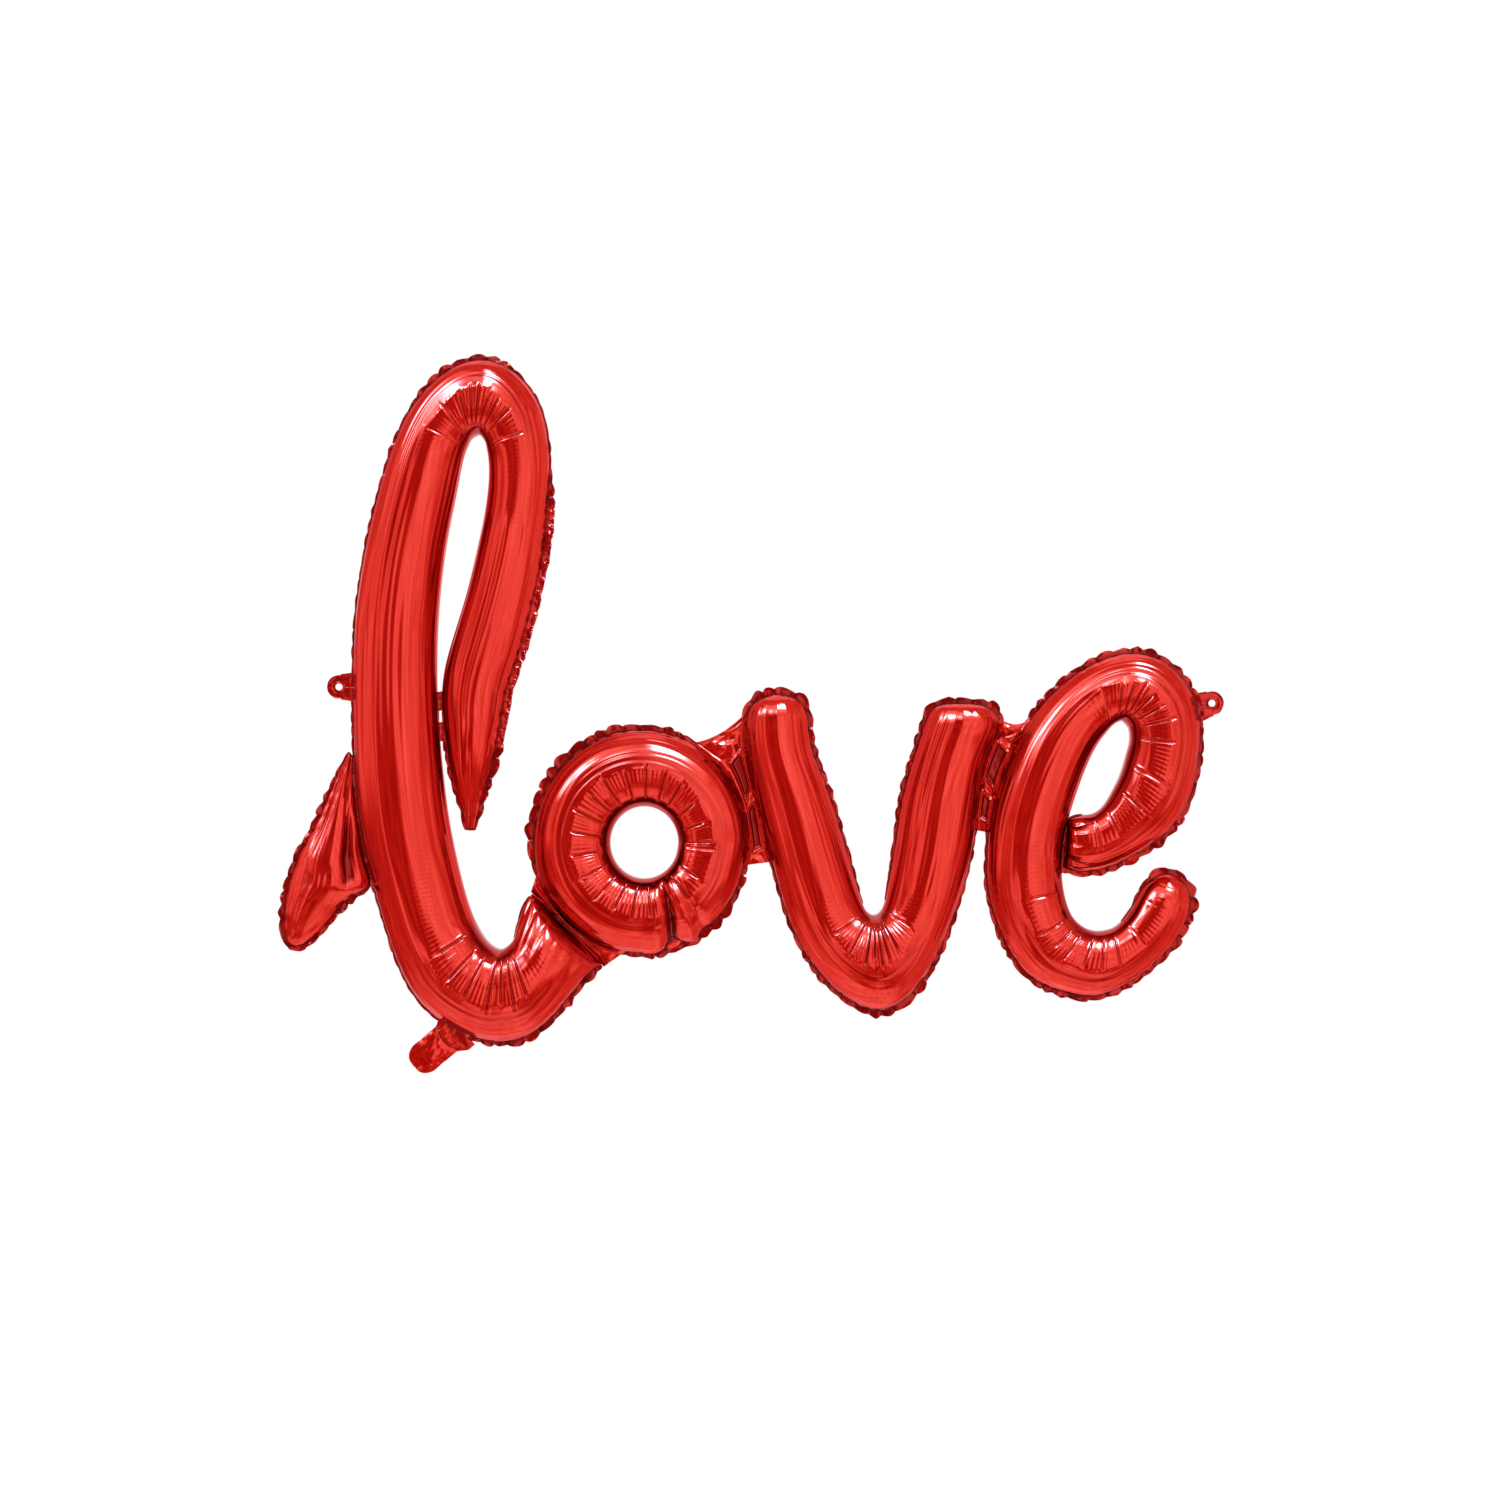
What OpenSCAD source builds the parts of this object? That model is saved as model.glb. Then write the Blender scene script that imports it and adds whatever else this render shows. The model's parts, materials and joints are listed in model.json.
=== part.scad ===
// Foil balloon in the form of one joined script word: l, o, v and e, each letter a hollow
// pair of foils on a flat heat seal, folding on the pinched webs between the letters.
// Millimetres. X runs right along the word, Z up, Y back; the seam plane is y = 0 and the
// origin is the middle of the left hanging hole.

/* [Lettering] */
// Width of the whole word at its widest
word_w = 870; // [600:10:1200]
// Depth of an inflated tube over its width
fullness = 0.96; // [0.7:0.02:1]
// The same for the flatter lobe on the left of the l
lobe_fullness = 0.6; // [0.4:0.02:0.9]

/* [Foil and heat seal] */
// Thickness of one foil, thickened so that it can be built
foil_t = 0.4; // [0.3:0.05:0.7]
// Width of the puckered seal along the outer edges
seal_out = 5.5; // [3.5:0.5:8]
// Width of the plain seal along the inner edges
seal_in = 1.2; // [0.8:0.1:1.4]
// Reach of the seal in under the foil rims
seal_lip = 1.6; // [1:0.1:3]
// Length of one pucker along the outer edges
pucker_pitch = 13; // [9:1:24]
// Depth of one pucker
pucker_depth = 1.6; // [0:0.2:2.4]

/* [Folds] */
// Open gap along each fold line
fold_gap = 0.9; // [0.7:0.1:0.9]
// Length over which the l rolls down to its fold with the o
l_tuck = 36; // [20:1:50]
// Length over which the crossbar of the e rolls down to its stem
e_tuck = 9; // [6:1:24]

/* [Hanging tabs] */
// Radius of the tab head
tab_r = 11; // [8:0.5:14]
// Radius of the punched hole
hole_r = 3.2; // [2:0.1:5]
// Width of the tab where it leaves the seal
tab_root_w = 26; // [20:1:34]
// Hole centre to the fold, left tab
left_tab_reach = 9.2; // [7:0.2:14]
// Hole centre to the fold, right tab
right_tab_reach = 7.8; // [7:0.2:14]

/* [Inflation tail] */
// Width of the tail
tail_w = 30; // [22:1:40]
// Length of the tail from its fold
tail_len = 42; // [30:1:60]
// Corner radius of the tail's mouth
tail_r = 12; // [4:1:14]
// Thickness of one valve film
film_t = 0.2; // [0.15:0.05:0.3]
// Width of the valve films
film_w = 22; // [14:1:26]
// Reach of the valve films into the balloon
film_in = 55; // [30:1:70]
// Films' end back from the tail's mouth
film_back = 6; // [3:1:12]

/* [Hidden] */
drawn_w = 870;
k = word_w / drawn_w;
arc_n = 8;
skin_per_rib = 2;
seal_per_rib = 10;
play = 0.3;

// Ribs across each letter at the drawn size: [inner x, inner z, outer x, outer z],
// in the order that the stroke is written, with the inner edge on its left.
l_ribs = k * [
    [117, -130, 124, -130], [114, -115, 128, -116], [109, -99, 132, -101],
    [102, -76, 139, -78], [98, -49, 145, -52], [95, -19, 150, -26], [96, 8, 155, -1],
    [103, 39, 165, 29], [117, 85, 178, 76], [128, 130, 188, 123], [135, 165, 192, 163],
    [138, 198, 194, 201], [136, 219, 191, 236], [134, 226, 181, 266], [130, 231, 158, 292],
    [126, 231, 128, 301], [122, 228, 96, 288], [119, 222, 69, 259], [114, 207, 50, 220],
    [108, 176, 37, 178], [100, 135, 26, 133], [94, 89, 18, 87], [91, 43, 14, 43],
    [91, -12, 13, -12], [95, -67, 14, -69], [101, -118, 19, -125], [110, -164, 31, -179],
    [120, -201, 45, -227], [130, -224, 64, -274], [139, -236, 93, -306],
    [148, -241, 130, -324], [155, -238, 167, -324], [161, -231, 197, -303],
    [165, -216, 222, -273], [172, -198, 236, -259], [178, -190, 243, -255]];
entry_ribs = k * [
    [12, -65, 9, -61], [13, -86, 0, -79], [15.5, -112, -12, -106], [20, -140, -25.5, -134],
    [25, -163, -38, -157], [28.5, -181, -46.5, -183], [12, -193, -50.5, -206],
    [-6, -211, -50.5, -222], [-20, -227, -48, -233], [-32, -237, -44, -238]];
v_ribs = k * [
    [407, -6, 398, -6], [423, -12, 382, -14], [431, -27, 374, -29], [434, -49, 374, -53],
    [441, -72, 378, -78], [452, -101, 385, -109], [464, -141, 395, -150],
    [475, -178, 406, -191], [482, -200, 418, -224], [486, -206.5, 438, -259],
    [489.5, -209, 466, -286], [492, -209.5, 498, -298], [494.5, -209, 527, -282],
    [498, -206, 547, -253], [502, -197, 562, -219], [506, -176, 573, -187],
    [512, -139, 582, -150], [518, -101, 588, -109], [529, -63, 594, -72],
    [536, -41, 604, -47], [541, -27, 608, -32], [550, -17, 599, -19], [568, -15, 578, -15]];
e_ribs = k * [
    [674.5, -122, 671, -166], [679, -118.5, 678, -169.5], [686, -117.5, 688, -170],
    [694, -116, 705, -167], [703, -109, 728, -157], [711, -96, 753, -141],
    [719, -79, 774, -118], [724, -62, 786, -90], [727, -51, 791, -63], [727, -41, 792, -35],
    [725, -36, 785, -7], [721, -32, 766, 18], [717, -32, 737, 31], [711, -36, 703, 26],
    [705, -43, 673, 9], [697, -54, 647, -15], [688, -72, 625, -47], [680, -93, 609, -84],
    [672, -118, 599, -118], [666, -145, 596, -150], [665, -173, 596, -182],
    [668, -194, 603, -213], [674, -210, 617, -244], [684, -220, 640, -270],
    [694, -224, 670, -282], [703, -224, 698, -284], [713, -221, 728, -271],
    [721, -214, 752, -252], [729, -203, 769, -233], [736, -190, 780, -213],
    [744, -180, 783, -198], [752, -174, 780, -184], [761, -171, 769, -173]];
// The o is two ellipses: its hole and its outer edge.
o_ribs = [for (a = [0:30:330])
    k * [281 + 31 * cos(a), -143 + 33 * sin(a), 277 + 99 * cos(a), -142 + 103 * sin(a)]];

// Fold lines: a point on the line, and the lean of its normal from X.
fold_lo_at = k * [213, -222];
fold_lo_lean = 45;
fold_ov_at = k * [376, -105];
fold_ov_lean = 13;
fold_ve_at = k * [601, -87];
fold_ve_lean = -12.5;
tail_at = k * [101, -322];
tail_lean = 220;
left_tab_at = [0, 0];
left_tab_lean = 0;
right_tab_at = k * [803, -15];
right_tab_lean = 197;

// Pinched webs between the letters, and the small welds that hold strokes together.
web_l = k * [[240, -259], [250, -255], [180, -185], [174, -190]];
web_o_at_l = k * [[247, -256], [262, -241], [190, -170], [175, -184]];
web_ov = k * [[380, -155], [398, -153], [371, -26], [330, -42]];
web_ve = k * [[584, -132], [601, -132], [630, -34], [603, -34]];
loop_weld = k * [[91, -50], [100, -50], [98, -3], [89, -5]];
loop_slit_at = k * [93.4, -27];
loop_slit = k * [1.8, 10];
bar_weld = k * [[664, -168], [674, -168], [677.5, -123], [668, -124]];

// Curves through the ribs
function pick(ribs, i, closed) =
    ribs[closed ? (i + len(ribs)) % len(ribs) : min(max(i, 0), len(ribs) - 1)];
function blend(p, f) = 0.5 * (2 * p[1] + f * (p[2] - p[0])
    + f * f * (2 * p[0] - 5 * p[1] + 4 * p[2] - p[3])
    + f * f * f * (3 * p[1] - p[0] - 3 * p[2] + p[3]));
function rib_at(ribs, t, closed) = let (i = closed ? floor(t) : min(floor(t), len(ribs) - 2))
    blend([for (j = [-1:2]) pick(ribs, i + j, closed)], t - i);
function rings(ribs, per, closed) = [for (i = [0:per * (len(ribs) - 1) + (closed ? per - 1 : 0)])
    rib_at(ribs, i / per, closed)];
function middle(r) = [r[0] + r[2], r[1] + r[3]] / 2;
function half(r) = norm([r[2] - r[0], r[3] - r[1]]) / 2;
function runs(line) = [for (i = 0, s = 0; i < len(line);
    s = s + (i + 1 < len(line) ? norm(line[i + 1] - line[i]) : 0), i = i + 1) s];

// Half section of a tube on one rib: w half width, d depth, side -1 front or 1 back
function arc(r, w, d, side) = let (across = [r[2] - r[0], r[3] - r[1]] / (2 * half(r)))
    [for (j = [0:arc_n]) let (a = 180 * j / arc_n, p = middle(r) - across * w * cos(a))
        [p[0], side * (foil_t + d * sin(a)), p[1]]];
function tuck(d, reach) = d >= reach ? 1 : max(0.08, sqrt(1 - pow(1 - d / reach, 2)));
function quad(a, b, c, d) = [[a, b, c], [a, c, d]];

// One foil of a letter: an outer and an inner shell joined along their rims
module foil(ribs, side, closed = false, tuck_first = 0, tuck_last = 0, full = fullness) {
    r = rings(ribs, skin_per_rib, closed);
    n = len(r);
    m = arc_n;
    s = runs([for (q = r) middle(q)]);
    deep = [for (i = [0:n - 1]) full * half(r[i])
        * tuck(s[i], tuck_first) * tuck(s[n - 1] - s[i], tuck_last)];
    i0 = closed ? 0 : 1;
    i1 = closed ? n - 1 : n - 2;
    outer = [for (i = [0:n - 1]) each arc(r[i], half(r[i]), deep[i], side)];
    inner = [for (i = [i0:i1]) each arc(r[i], half(r[i]) - foil_t, deep[i] - foil_t, side)];
    function o(i, j) = (i % n) * (m + 1) + j;
    function c(i, j) = n * (m + 1) + (i % n - i0) * (m + 1) + j;
    out_faces = [for (i = [0:closed ? n - 1 : n - 2], j = [0:m - 1])
        each quad(o(i, j), o(i, j + 1), o(i + 1, j + 1), o(i + 1, j))];
    in_faces = [for (i = [i0:closed ? i1 : i1 - 1], j = [0:m - 1])
        each quad(c(i, j), c(i + 1, j), c(i + 1, j + 1), c(i, j + 1))];
    rims = [for (i = [i0:closed ? i1 : i1 - 1])
        each concat(quad(o(i, 0), o(i + 1, 0), c(i + 1, 0), c(i, 0)),
            quad(c(i, m), c(i + 1, m), o(i + 1, m), o(i, m)))];
    z = n - 1;
    ends = closed ? [] : concat(
        [[o(0, 0), o(1, 0), c(1, 0)], [o(0, 0), c(1, 0), c(1, m)],
         [o(0, 0), c(1, m), o(0, m)], [o(0, m), c(1, m), o(1, m)],
         [o(z - 1, 0), o(z, 0), c(z - 1, 0)], [c(z - 1, 0), o(z, 0), o(z, m)],
         [c(z - 1, 0), o(z, m), c(z - 1, m)], [c(z - 1, m), o(z, m), o(z - 1, m)]],
        [for (j = [1:m - 1]) each [[o(0, 0), o(0, j + 1), o(0, j)],
            [c(1, 0), c(1, j), c(1, j + 1)], [o(z, 0), o(z, j), o(z, j + 1)],
            [c(z - 1, 0), c(z - 1, j + 1), c(z - 1, j)]]]);
    faces = concat(out_faces, in_faces, rims, ends);
    polyhedron(concat(outer, inner),
        side > 0 ? faces : [for (f = faces) [f[2], f[1], f[0]]]);
}

// Edge lines of a letter pushed outward by a width at each point
function edge(ribs, per, closed, a) = [for (r = rings(ribs, per, closed)) [r[a], r[a + 1]]];
function pushed(line, way, by, closed) = let (n = len(line)) [for (i = [0:n - 1])
    let (t = closed ? line[(i + 1) % n] - line[(i + n - 1) % n]
            : line[min(i + 1, n - 1)] - line[max(i - 1, 0)])
        line[i] + way * by[i] * [-t[1], t[0]] / norm(t)];
function even(line, w) = [for (p = line) w];
function puckers(line) = [for (s = runs(line))
    seal_out + pucker_depth * (abs(sin(180 * s / pucker_pitch)) - 0.6)];
function back(line) = [for (i = [len(line) - 1:-1:0]) line[i]];

module seal_outline(ribs) {
    a = edge(ribs, seal_per_rib, false, 0);
    b = edge(ribs, seal_per_rib, false, 2);
    polygon(concat(pushed(b, -1, puckers(b), false), back(pushed(a, 1, even(a, seal_in), false))));
}
module seal_inside(ribs) {
    r = rings(ribs, 4, false);
    cut = [for (i = [2:len(r) - 3]) r[i]];
    a = [for (q = cut) [q[0], q[1]]];
    b = [for (q = cut) [q[2], q[3]]];
    polygon(concat(pushed(b, 1, even(b, seal_lip), false), back(pushed(a, -1, even(a, seal_lip), false))));
}
// Flat sheet in the plane of the word, from y = -front - thick to y = -front
module sheet(front, thick) {
    rotate([90, 0, 0]) translate([0, 0, front]) linear_extrude(thick) children();
}
module seal_sheet() {
    sheet(-foil_t, 2 * foil_t) children();
}
// All of a web on one side of its fold line, clear of its gap
function longest(web) = max([for (p = web, q = web) norm(p - q)]);
module past(at, lean, way, web) {
    reach = 0.6 * longest(web);
    span = 1.5 * longest(web);
    translate(at) rotate(lean)
        translate([way > 0 ? -fold_gap / 2 : fold_gap / 2 - reach, -span / 2]) square([reach, span]);
}
module strip(at, lean, from, to, width) {
    translate(at) rotate(lean) translate([from, -width / 2]) square([to - from, width]);
}

module tab_outline(root) {
    difference() {
        union() {
            circle(tab_r, $fn = 48);
            polygon([[0, -tab_r], [root, -tab_root_w / 2], [root, tab_root_w / 2], [0, tab_r]]);
        }
        circle(hole_r, $fn = 48);
        translate([root, -tab_root_w]) square([tab_r, 2 * tab_root_w]);
    }
}
// Seal that carries a tab, and the notch that the tab swings in
module tab_base(at, lean, reach) {
    strip(at, lean, reach, reach + 8, tab_root_w + 4);
}
module tab_notch(at, lean, reach) {
    strip(at, lean, -tab_r - 8, reach + fold_gap / 2, tab_root_w + 2);
}
// Seal that widens from the tail's fold up to the border of the l
module tail_gusset() {
    translate(tail_at) rotate(tail_lean) polygon([[-k * 3, -tail_w / 2 - k * 9],
        [0, -tail_w / 2 - 1], [0, tail_w / 2 + 1], [-k * 25, tail_w / 2 + k * 8]]);
}
module tail_outline() {
    translate(tail_at) rotate(tail_lean) {
        translate([fold_gap / 2, -tail_w / 2]) square([tail_len - tail_r - fold_gap / 2, tail_w]);
        translate([tail_len - tail_r - 1, tail_r - tail_w / 2]) square([tail_r + 1, tail_w - 2 * tail_r]);
        for (w = [-1, 1])
            translate([tail_len - tail_r, w * (tail_w / 2 - tail_r)]) circle(tail_r, $fn = 48);
    }
}

module l_front_foil() { color("#d62b22") foil(l_ribs, -1, tuck_last = k * l_tuck); }
module l_back_foil() { color("#d62b22") foil(l_ribs, 1, tuck_last = k * l_tuck); }
module l_entry_front_foil() { color("#d62b22") foil(entry_ribs, -1, full = lobe_fullness); }
module l_entry_back_foil() { color("#d62b22") foil(entry_ribs, 1, full = lobe_fullness); }
module l_heat_seal() {
    color("#b41a16") seal_sheet() difference() {
        union() {
            seal_outline(l_ribs);
            seal_outline(entry_ribs);
            polygon(web_l);
            polygon(loop_weld);
            tail_gusset();
            tab_base(left_tab_at, left_tab_lean, left_tab_reach);
        }
        seal_inside(l_ribs);
        seal_inside(entry_ribs);
        past(fold_lo_at, fold_lo_lean, 1, web_l);
        tab_notch(left_tab_at, left_tab_lean, left_tab_reach);
        strip(tail_at, tail_lean, -fold_gap / 2, 30, tail_w + 10);
        strip(tail_at, tail_lean, -film_in - 1, 1, film_w + 2 * play);
        translate(loop_slit_at) square(loop_slit, center = true);
    }
}

module o_front_foil() { color("#d62b22") foil(o_ribs, -1, closed = true); }
module o_back_foil() { color("#d62b22") foil(o_ribs, 1, closed = true); }
module o_heat_seal() {
    a = edge(o_ribs, seal_per_rib, true, 0);
    b = edge(o_ribs, 3 * seal_per_rib, true, 2);
    rim = edge(o_ribs, seal_per_rib, true, 2);
    color("#b41a16") seal_sheet() difference() {
        union() {
            polygon(pushed(b, -1, puckers(b), true));
            polygon(web_o_at_l);
            polygon(web_ov);
        }
        difference() {
            polygon(pushed(rim, 1, even(rim, seal_lip), true));
            polygon(pushed(a, -1, even(a, seal_lip), true));
        }
        polygon(pushed(a, 1, even(a, seal_in), true));
        past(fold_lo_at, fold_lo_lean, -1, web_o_at_l);
        past(fold_ov_at, fold_ov_lean, 1, web_ov);
    }
}

module v_front_foil() { color("#d62b22") foil(v_ribs, -1); }
module v_back_foil() { color("#d62b22") foil(v_ribs, 1); }
module v_heat_seal() {
    color("#b41a16") seal_sheet() difference() {
        union() {
            seal_outline(v_ribs);
            polygon(web_ov);
            polygon(web_ve);
        }
        seal_inside(v_ribs);
        past(fold_ov_at, fold_ov_lean, -1, web_ov);
        past(fold_ve_at, fold_ve_lean, 1, web_ve);
    }
}

module e_front_foil() { color("#d62b22") foil(e_ribs, -1, tuck_first = k * e_tuck); }
module e_back_foil() { color("#d62b22") foil(e_ribs, 1, tuck_first = k * e_tuck); }
module e_heat_seal() {
    color("#b41a16") seal_sheet() difference() {
        union() {
            seal_outline(e_ribs);
            polygon(web_ve);
            polygon(bar_weld);
            tab_base(right_tab_at, right_tab_lean, right_tab_reach);
        }
        seal_inside(e_ribs);
        past(fold_ve_at, fold_ve_lean, -1, web_ve);
        tab_notch(right_tab_at, right_tab_lean, right_tab_reach);
    }
}

module tail_foil(front) {
    difference() {
        sheet(front, foil_t) tail_outline();
        sheet(-film_t, 2 * film_t) strip(tail_at, tail_lean, -1, tail_len + 1, film_w + 2 * play);
    }
}
module tail_front_foil() { color("#d62b22") tail_foil(0); }
module tail_back_foil() { color("#d62b22") tail_foil(-foil_t); }
module valve_film(front) {
    sheet(front, film_t) strip(tail_at, tail_lean, -film_in, tail_len - film_back, film_w);
}
module valve_film_front() { color("#e9e6e0") valve_film(0); }
module valve_film_back() { color("#e9e6e0") valve_film(-film_t); }

module left_hanging_tab() {
    color("#b41a16") seal_sheet() translate(left_tab_at) rotate(left_tab_lean)
        tab_outline(left_tab_reach - fold_gap / 2);
}
module right_hanging_tab() {
    color("#b41a16") seal_sheet() translate(right_tab_at) rotate(right_tab_lean)
        tab_outline(right_tab_reach - fold_gap / 2);
}

l_front_foil();
l_back_foil();
l_entry_front_foil();
l_entry_back_foil();
l_heat_seal();
o_front_foil();
o_back_foil();
o_heat_seal();
v_front_foil();
v_back_foil();
v_heat_seal();
e_front_foil();
e_back_foil();
e_heat_seal();
tail_front_foil();
tail_back_foil();
valve_film_front();
valve_film_back();
left_hanging_tab();
right_hanging_tab();
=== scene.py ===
"""Looks for the script-word foil balloon: inflated foil skins with pleated bends, puckered seals,
crinkled webs, filling tail and hanging tabs, under soft studio panels. Metres, in the CAD frame."""
import json

import bpy
import numpy as np
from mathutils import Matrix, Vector


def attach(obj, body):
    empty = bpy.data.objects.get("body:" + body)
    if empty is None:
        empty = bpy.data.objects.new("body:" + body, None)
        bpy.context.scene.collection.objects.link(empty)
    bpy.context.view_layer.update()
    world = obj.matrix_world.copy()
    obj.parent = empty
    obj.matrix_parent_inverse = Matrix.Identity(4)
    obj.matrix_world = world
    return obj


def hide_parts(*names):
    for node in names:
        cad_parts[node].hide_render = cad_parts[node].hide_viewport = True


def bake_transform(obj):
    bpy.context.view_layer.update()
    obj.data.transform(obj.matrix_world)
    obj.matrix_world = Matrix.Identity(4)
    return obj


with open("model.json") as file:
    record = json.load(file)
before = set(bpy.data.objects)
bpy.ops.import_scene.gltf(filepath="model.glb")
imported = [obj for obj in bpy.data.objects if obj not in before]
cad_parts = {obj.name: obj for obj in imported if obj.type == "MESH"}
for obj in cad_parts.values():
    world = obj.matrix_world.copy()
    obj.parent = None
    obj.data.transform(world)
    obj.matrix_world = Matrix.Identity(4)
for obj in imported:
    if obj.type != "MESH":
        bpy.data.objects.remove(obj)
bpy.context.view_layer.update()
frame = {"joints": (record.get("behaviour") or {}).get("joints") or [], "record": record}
scene = bpy.context.scene
MM = 0.001
JOINTS = {joint["name"]: joint for joint in frame["joints"]}
MOUNTS = {mount["name"]: mount for mount in frame["record"]["mounts"]}

# Letter ribs, as in the CAD, but that the crossbar of the e is drawn 4 mm closer to its stem
# [inner x, inner z, outer x, outer z] in millimetres, in the order that the stroke is written
L_RIBS = [
    [117, -130, 124, -130], [114, -115, 128, -116], [109, -99, 132, -101],
    [102, -76, 139, -78], [98, -49, 145, -52], [95, -19, 150, -26], [96, 8, 155, -1],
    [103, 39, 165, 29], [117, 85, 178, 76], [128, 130, 188, 123], [135, 165, 192, 163],
    [138, 198, 194, 201], [136, 219, 191, 236], [134, 226, 181, 266], [130, 231, 158, 292],
    [126, 231, 128, 301], [122, 228, 96, 288], [119, 222, 69, 259], [114, 207, 50, 220],
    [108, 176, 37, 178], [100, 135, 26, 133], [94, 89, 18, 87], [91, 43, 14, 43],
    [91, -12, 13, -12], [95, -67, 14, -69], [101, -118, 19, -125], [110, -164, 31, -179],
    [120, -201, 45, -227], [130, -224, 64, -274], [139, -236, 93, -306],
    [148, -241, 130, -324], [155, -238, 167, -324], [161, -231, 197, -303],
    [165, -216, 222, -273], [172, -198, 236, -259], [178, -190, 243, -255]]
ENTRY_RIBS = [
    [12, -65, 9, -61], [13, -86, 0, -79], [15.5, -112, -12, -106], [20, -140, -25.5, -134],
    [25, -163, -38, -157], [28.5, -181, -46.5, -183], [12, -193, -50.5, -206],
    [-6, -211, -50.5, -222], [-20, -227, -48, -233], [-32, -237, -44, -238]]
V_RIBS = [
    [407, -6, 398, -6], [423, -12, 382, -14], [431, -27, 374, -29], [434, -49, 374, -53],
    [441, -72, 378, -78], [452, -101, 385, -109], [464, -141, 395, -150],
    [475, -178, 406, -191], [482, -200, 418, -224], [486, -206.5, 438, -259],
    [489.5, -209, 466, -286], [492, -209.5, 498, -298], [494.5, -209, 527, -282],
    [498, -206, 547, -253], [502, -197, 562, -219], [506, -176, 573, -187],
    [512, -139, 582, -150], [518, -101, 588, -109], [529, -63, 594, -72],
    [536, -41, 604, -47], [541, -27, 608, -32], [550, -17, 599, -19], [568, -15, 578, -15]]
E_RIBS = [
    [670, -122, 666, -166], [678, -118.5, 677, -169.5], [686, -117.5, 688, -170],
    [694, -116, 705, -167], [703, -109, 728, -157], [711, -96, 753, -141],
    [719, -79, 774, -118], [724, -62, 786, -90], [727, -51, 791, -63], [727, -41, 792, -35],
    [725, -36, 785, -7], [721, -32, 766, 18], [717, -32, 737, 31], [711, -36, 703, 26],
    [705, -43, 673, 9], [697, -54, 647, -15], [688, -72, 625, -47], [680, -93, 609, -84],
    [672, -118, 599, -118], [666, -145, 596, -150], [665, -173, 596, -182],
    [668, -194, 603, -213], [674, -210, 617, -244], [684, -220, 640, -270],
    [694, -224, 670, -282], [703, -224, 698, -284], [713, -221, 728, -271],
    [721, -214, 752, -252], [729, -203, 769, -233], [736, -190, 780, -213],
    [744, -180, 783, -198], [752, -174, 780, -184], [761, -171, 769, -173]]
# The o is a ring: points on two ellipses, its hole and its outline
TURN = np.radians(np.arange(0, 360, 30))
O_RIBS = np.stack([281 + 31 * np.cos(TURN), -143 + 33 * np.sin(TURN),
                   277 + 99 * np.cos(TURN), -142 + 103 * np.sin(TURN)], 1)
# Depth of a skin over its half width: for the letters, and for the flatter lobe beside the l
FULLNESS, LOBE_FULLNESS = 0.96, 0.6

# Small mathematics
LATTICE = 128


def smooth(lo, hi, x):
    """Smooth step: 0 below lo, 1 above hi, 3 f squared less 2 f cubed between."""
    f = np.clip((x - lo) / (hi - lo), 0, 1)
    return f * f * (3 - 2 * f)


def noise(u, v, seed):
    """Value noise from -1 to 1: seeded random numbers on a lattice, joined by smooth steps. It repeats
    after LATTICE steps."""
    knots = np.random.default_rng(seed).uniform(-1, 1, (LATTICE, LATTICE))
    u, v = np.broadcast_arrays(np.asarray(u, float), np.asarray(v, float))
    i, j = np.floor(u).astype(int), np.floor(v).astype(int)
    f, g = smooth(0, 1, u - i), smooth(0, 1, v - j)
    i0, i1, j0, j1 = (k % LATTICE for k in (i, i + 1, j, j + 1))
    return ((knots[i0, j0] * (1 - f) + knots[i1, j0] * f) * (1 - g)
            + (knots[i0, j1] * (1 - f) + knots[i1, j1] * f) * g)


def ridged(u, v, seed, octaves=3):
    """Crumple from 0 to 1 with sharp ridges: one less the size of the noise, over up to three octaves."""
    parts = ((0.55, 1), (0.3, 2), (0.15, 4))[:octaves]
    return sum(a * (1 - np.abs(noise(u * f, v * f, seed + f))) for a, f in parts)


def bell(x, width):
    """Bell curve: e to the minus square of x over the width."""
    return np.exp(-(x / width) ** 2)


def cusps(phase, power):
    """Rounded bumps with sharp valleys: the size of the sine, raised to a power; 0 at whole phases."""
    return np.abs(np.sin(np.pi * phase)) ** power


def cubic(points, at, closed):
    """Cubic spline through points at whole numbers, natural or closed, taken at `at`."""
    p = np.asarray(points, float)
    n = len(p)
    eye = np.eye(n)
    a = 4 * eye + np.roll(eye, 1, 1) + np.roll(eye, -1, 1)
    rhs = 6 * (np.roll(p, -1, 0) - 2 * p + np.roll(p, 1, 0))
    if not closed:
        a[[0, -1]] = eye[[0, -1]]
        rhs[[0, -1]] = 0
    m = np.linalg.solve(a, rhs)
    i = np.floor(at).astype(int)
    if not closed:
        i = np.clip(i, 0, n - 2)
    f = (at - i)[:, None]
    i, k = i % n, (i + 1) % n
    return ((1 - f) * p[i] + f * p[k] + ((1 - f) ** 3 - (1 - f)) * m[i] / 6 + (f ** 3 - f) * m[k] / 6)


def blur(x, rows, closed):
    """Gaussian average along the first axis, over about that many rows."""
    r = int(3 * rows) + 1
    g = np.exp(-0.5 * (np.arange(-r, r + 1) / rows) ** 2)
    g /= g.sum()
    return np.convolve(np.pad(x, r, mode="wrap" if closed else "edge"), g, mode="valid")


# Rows along a stroke: their spacing in millimetres where it is pleated and where it is not, the pleating
# from which they are closest, and the lengths over which the turn and the pleating are averaged
FINE_ROW, COARSE_ROW = 0.7, 2.2
CLOSEST_FROM = 0.15
TURN_BLUR, PLEAT_BLUR = 10 * MM, 4 * MM
# Samples taken of a stroke, first evenly by rib number and then evenly by length
BY_RIB, BY_LENGTH = 6001, 4001


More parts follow.
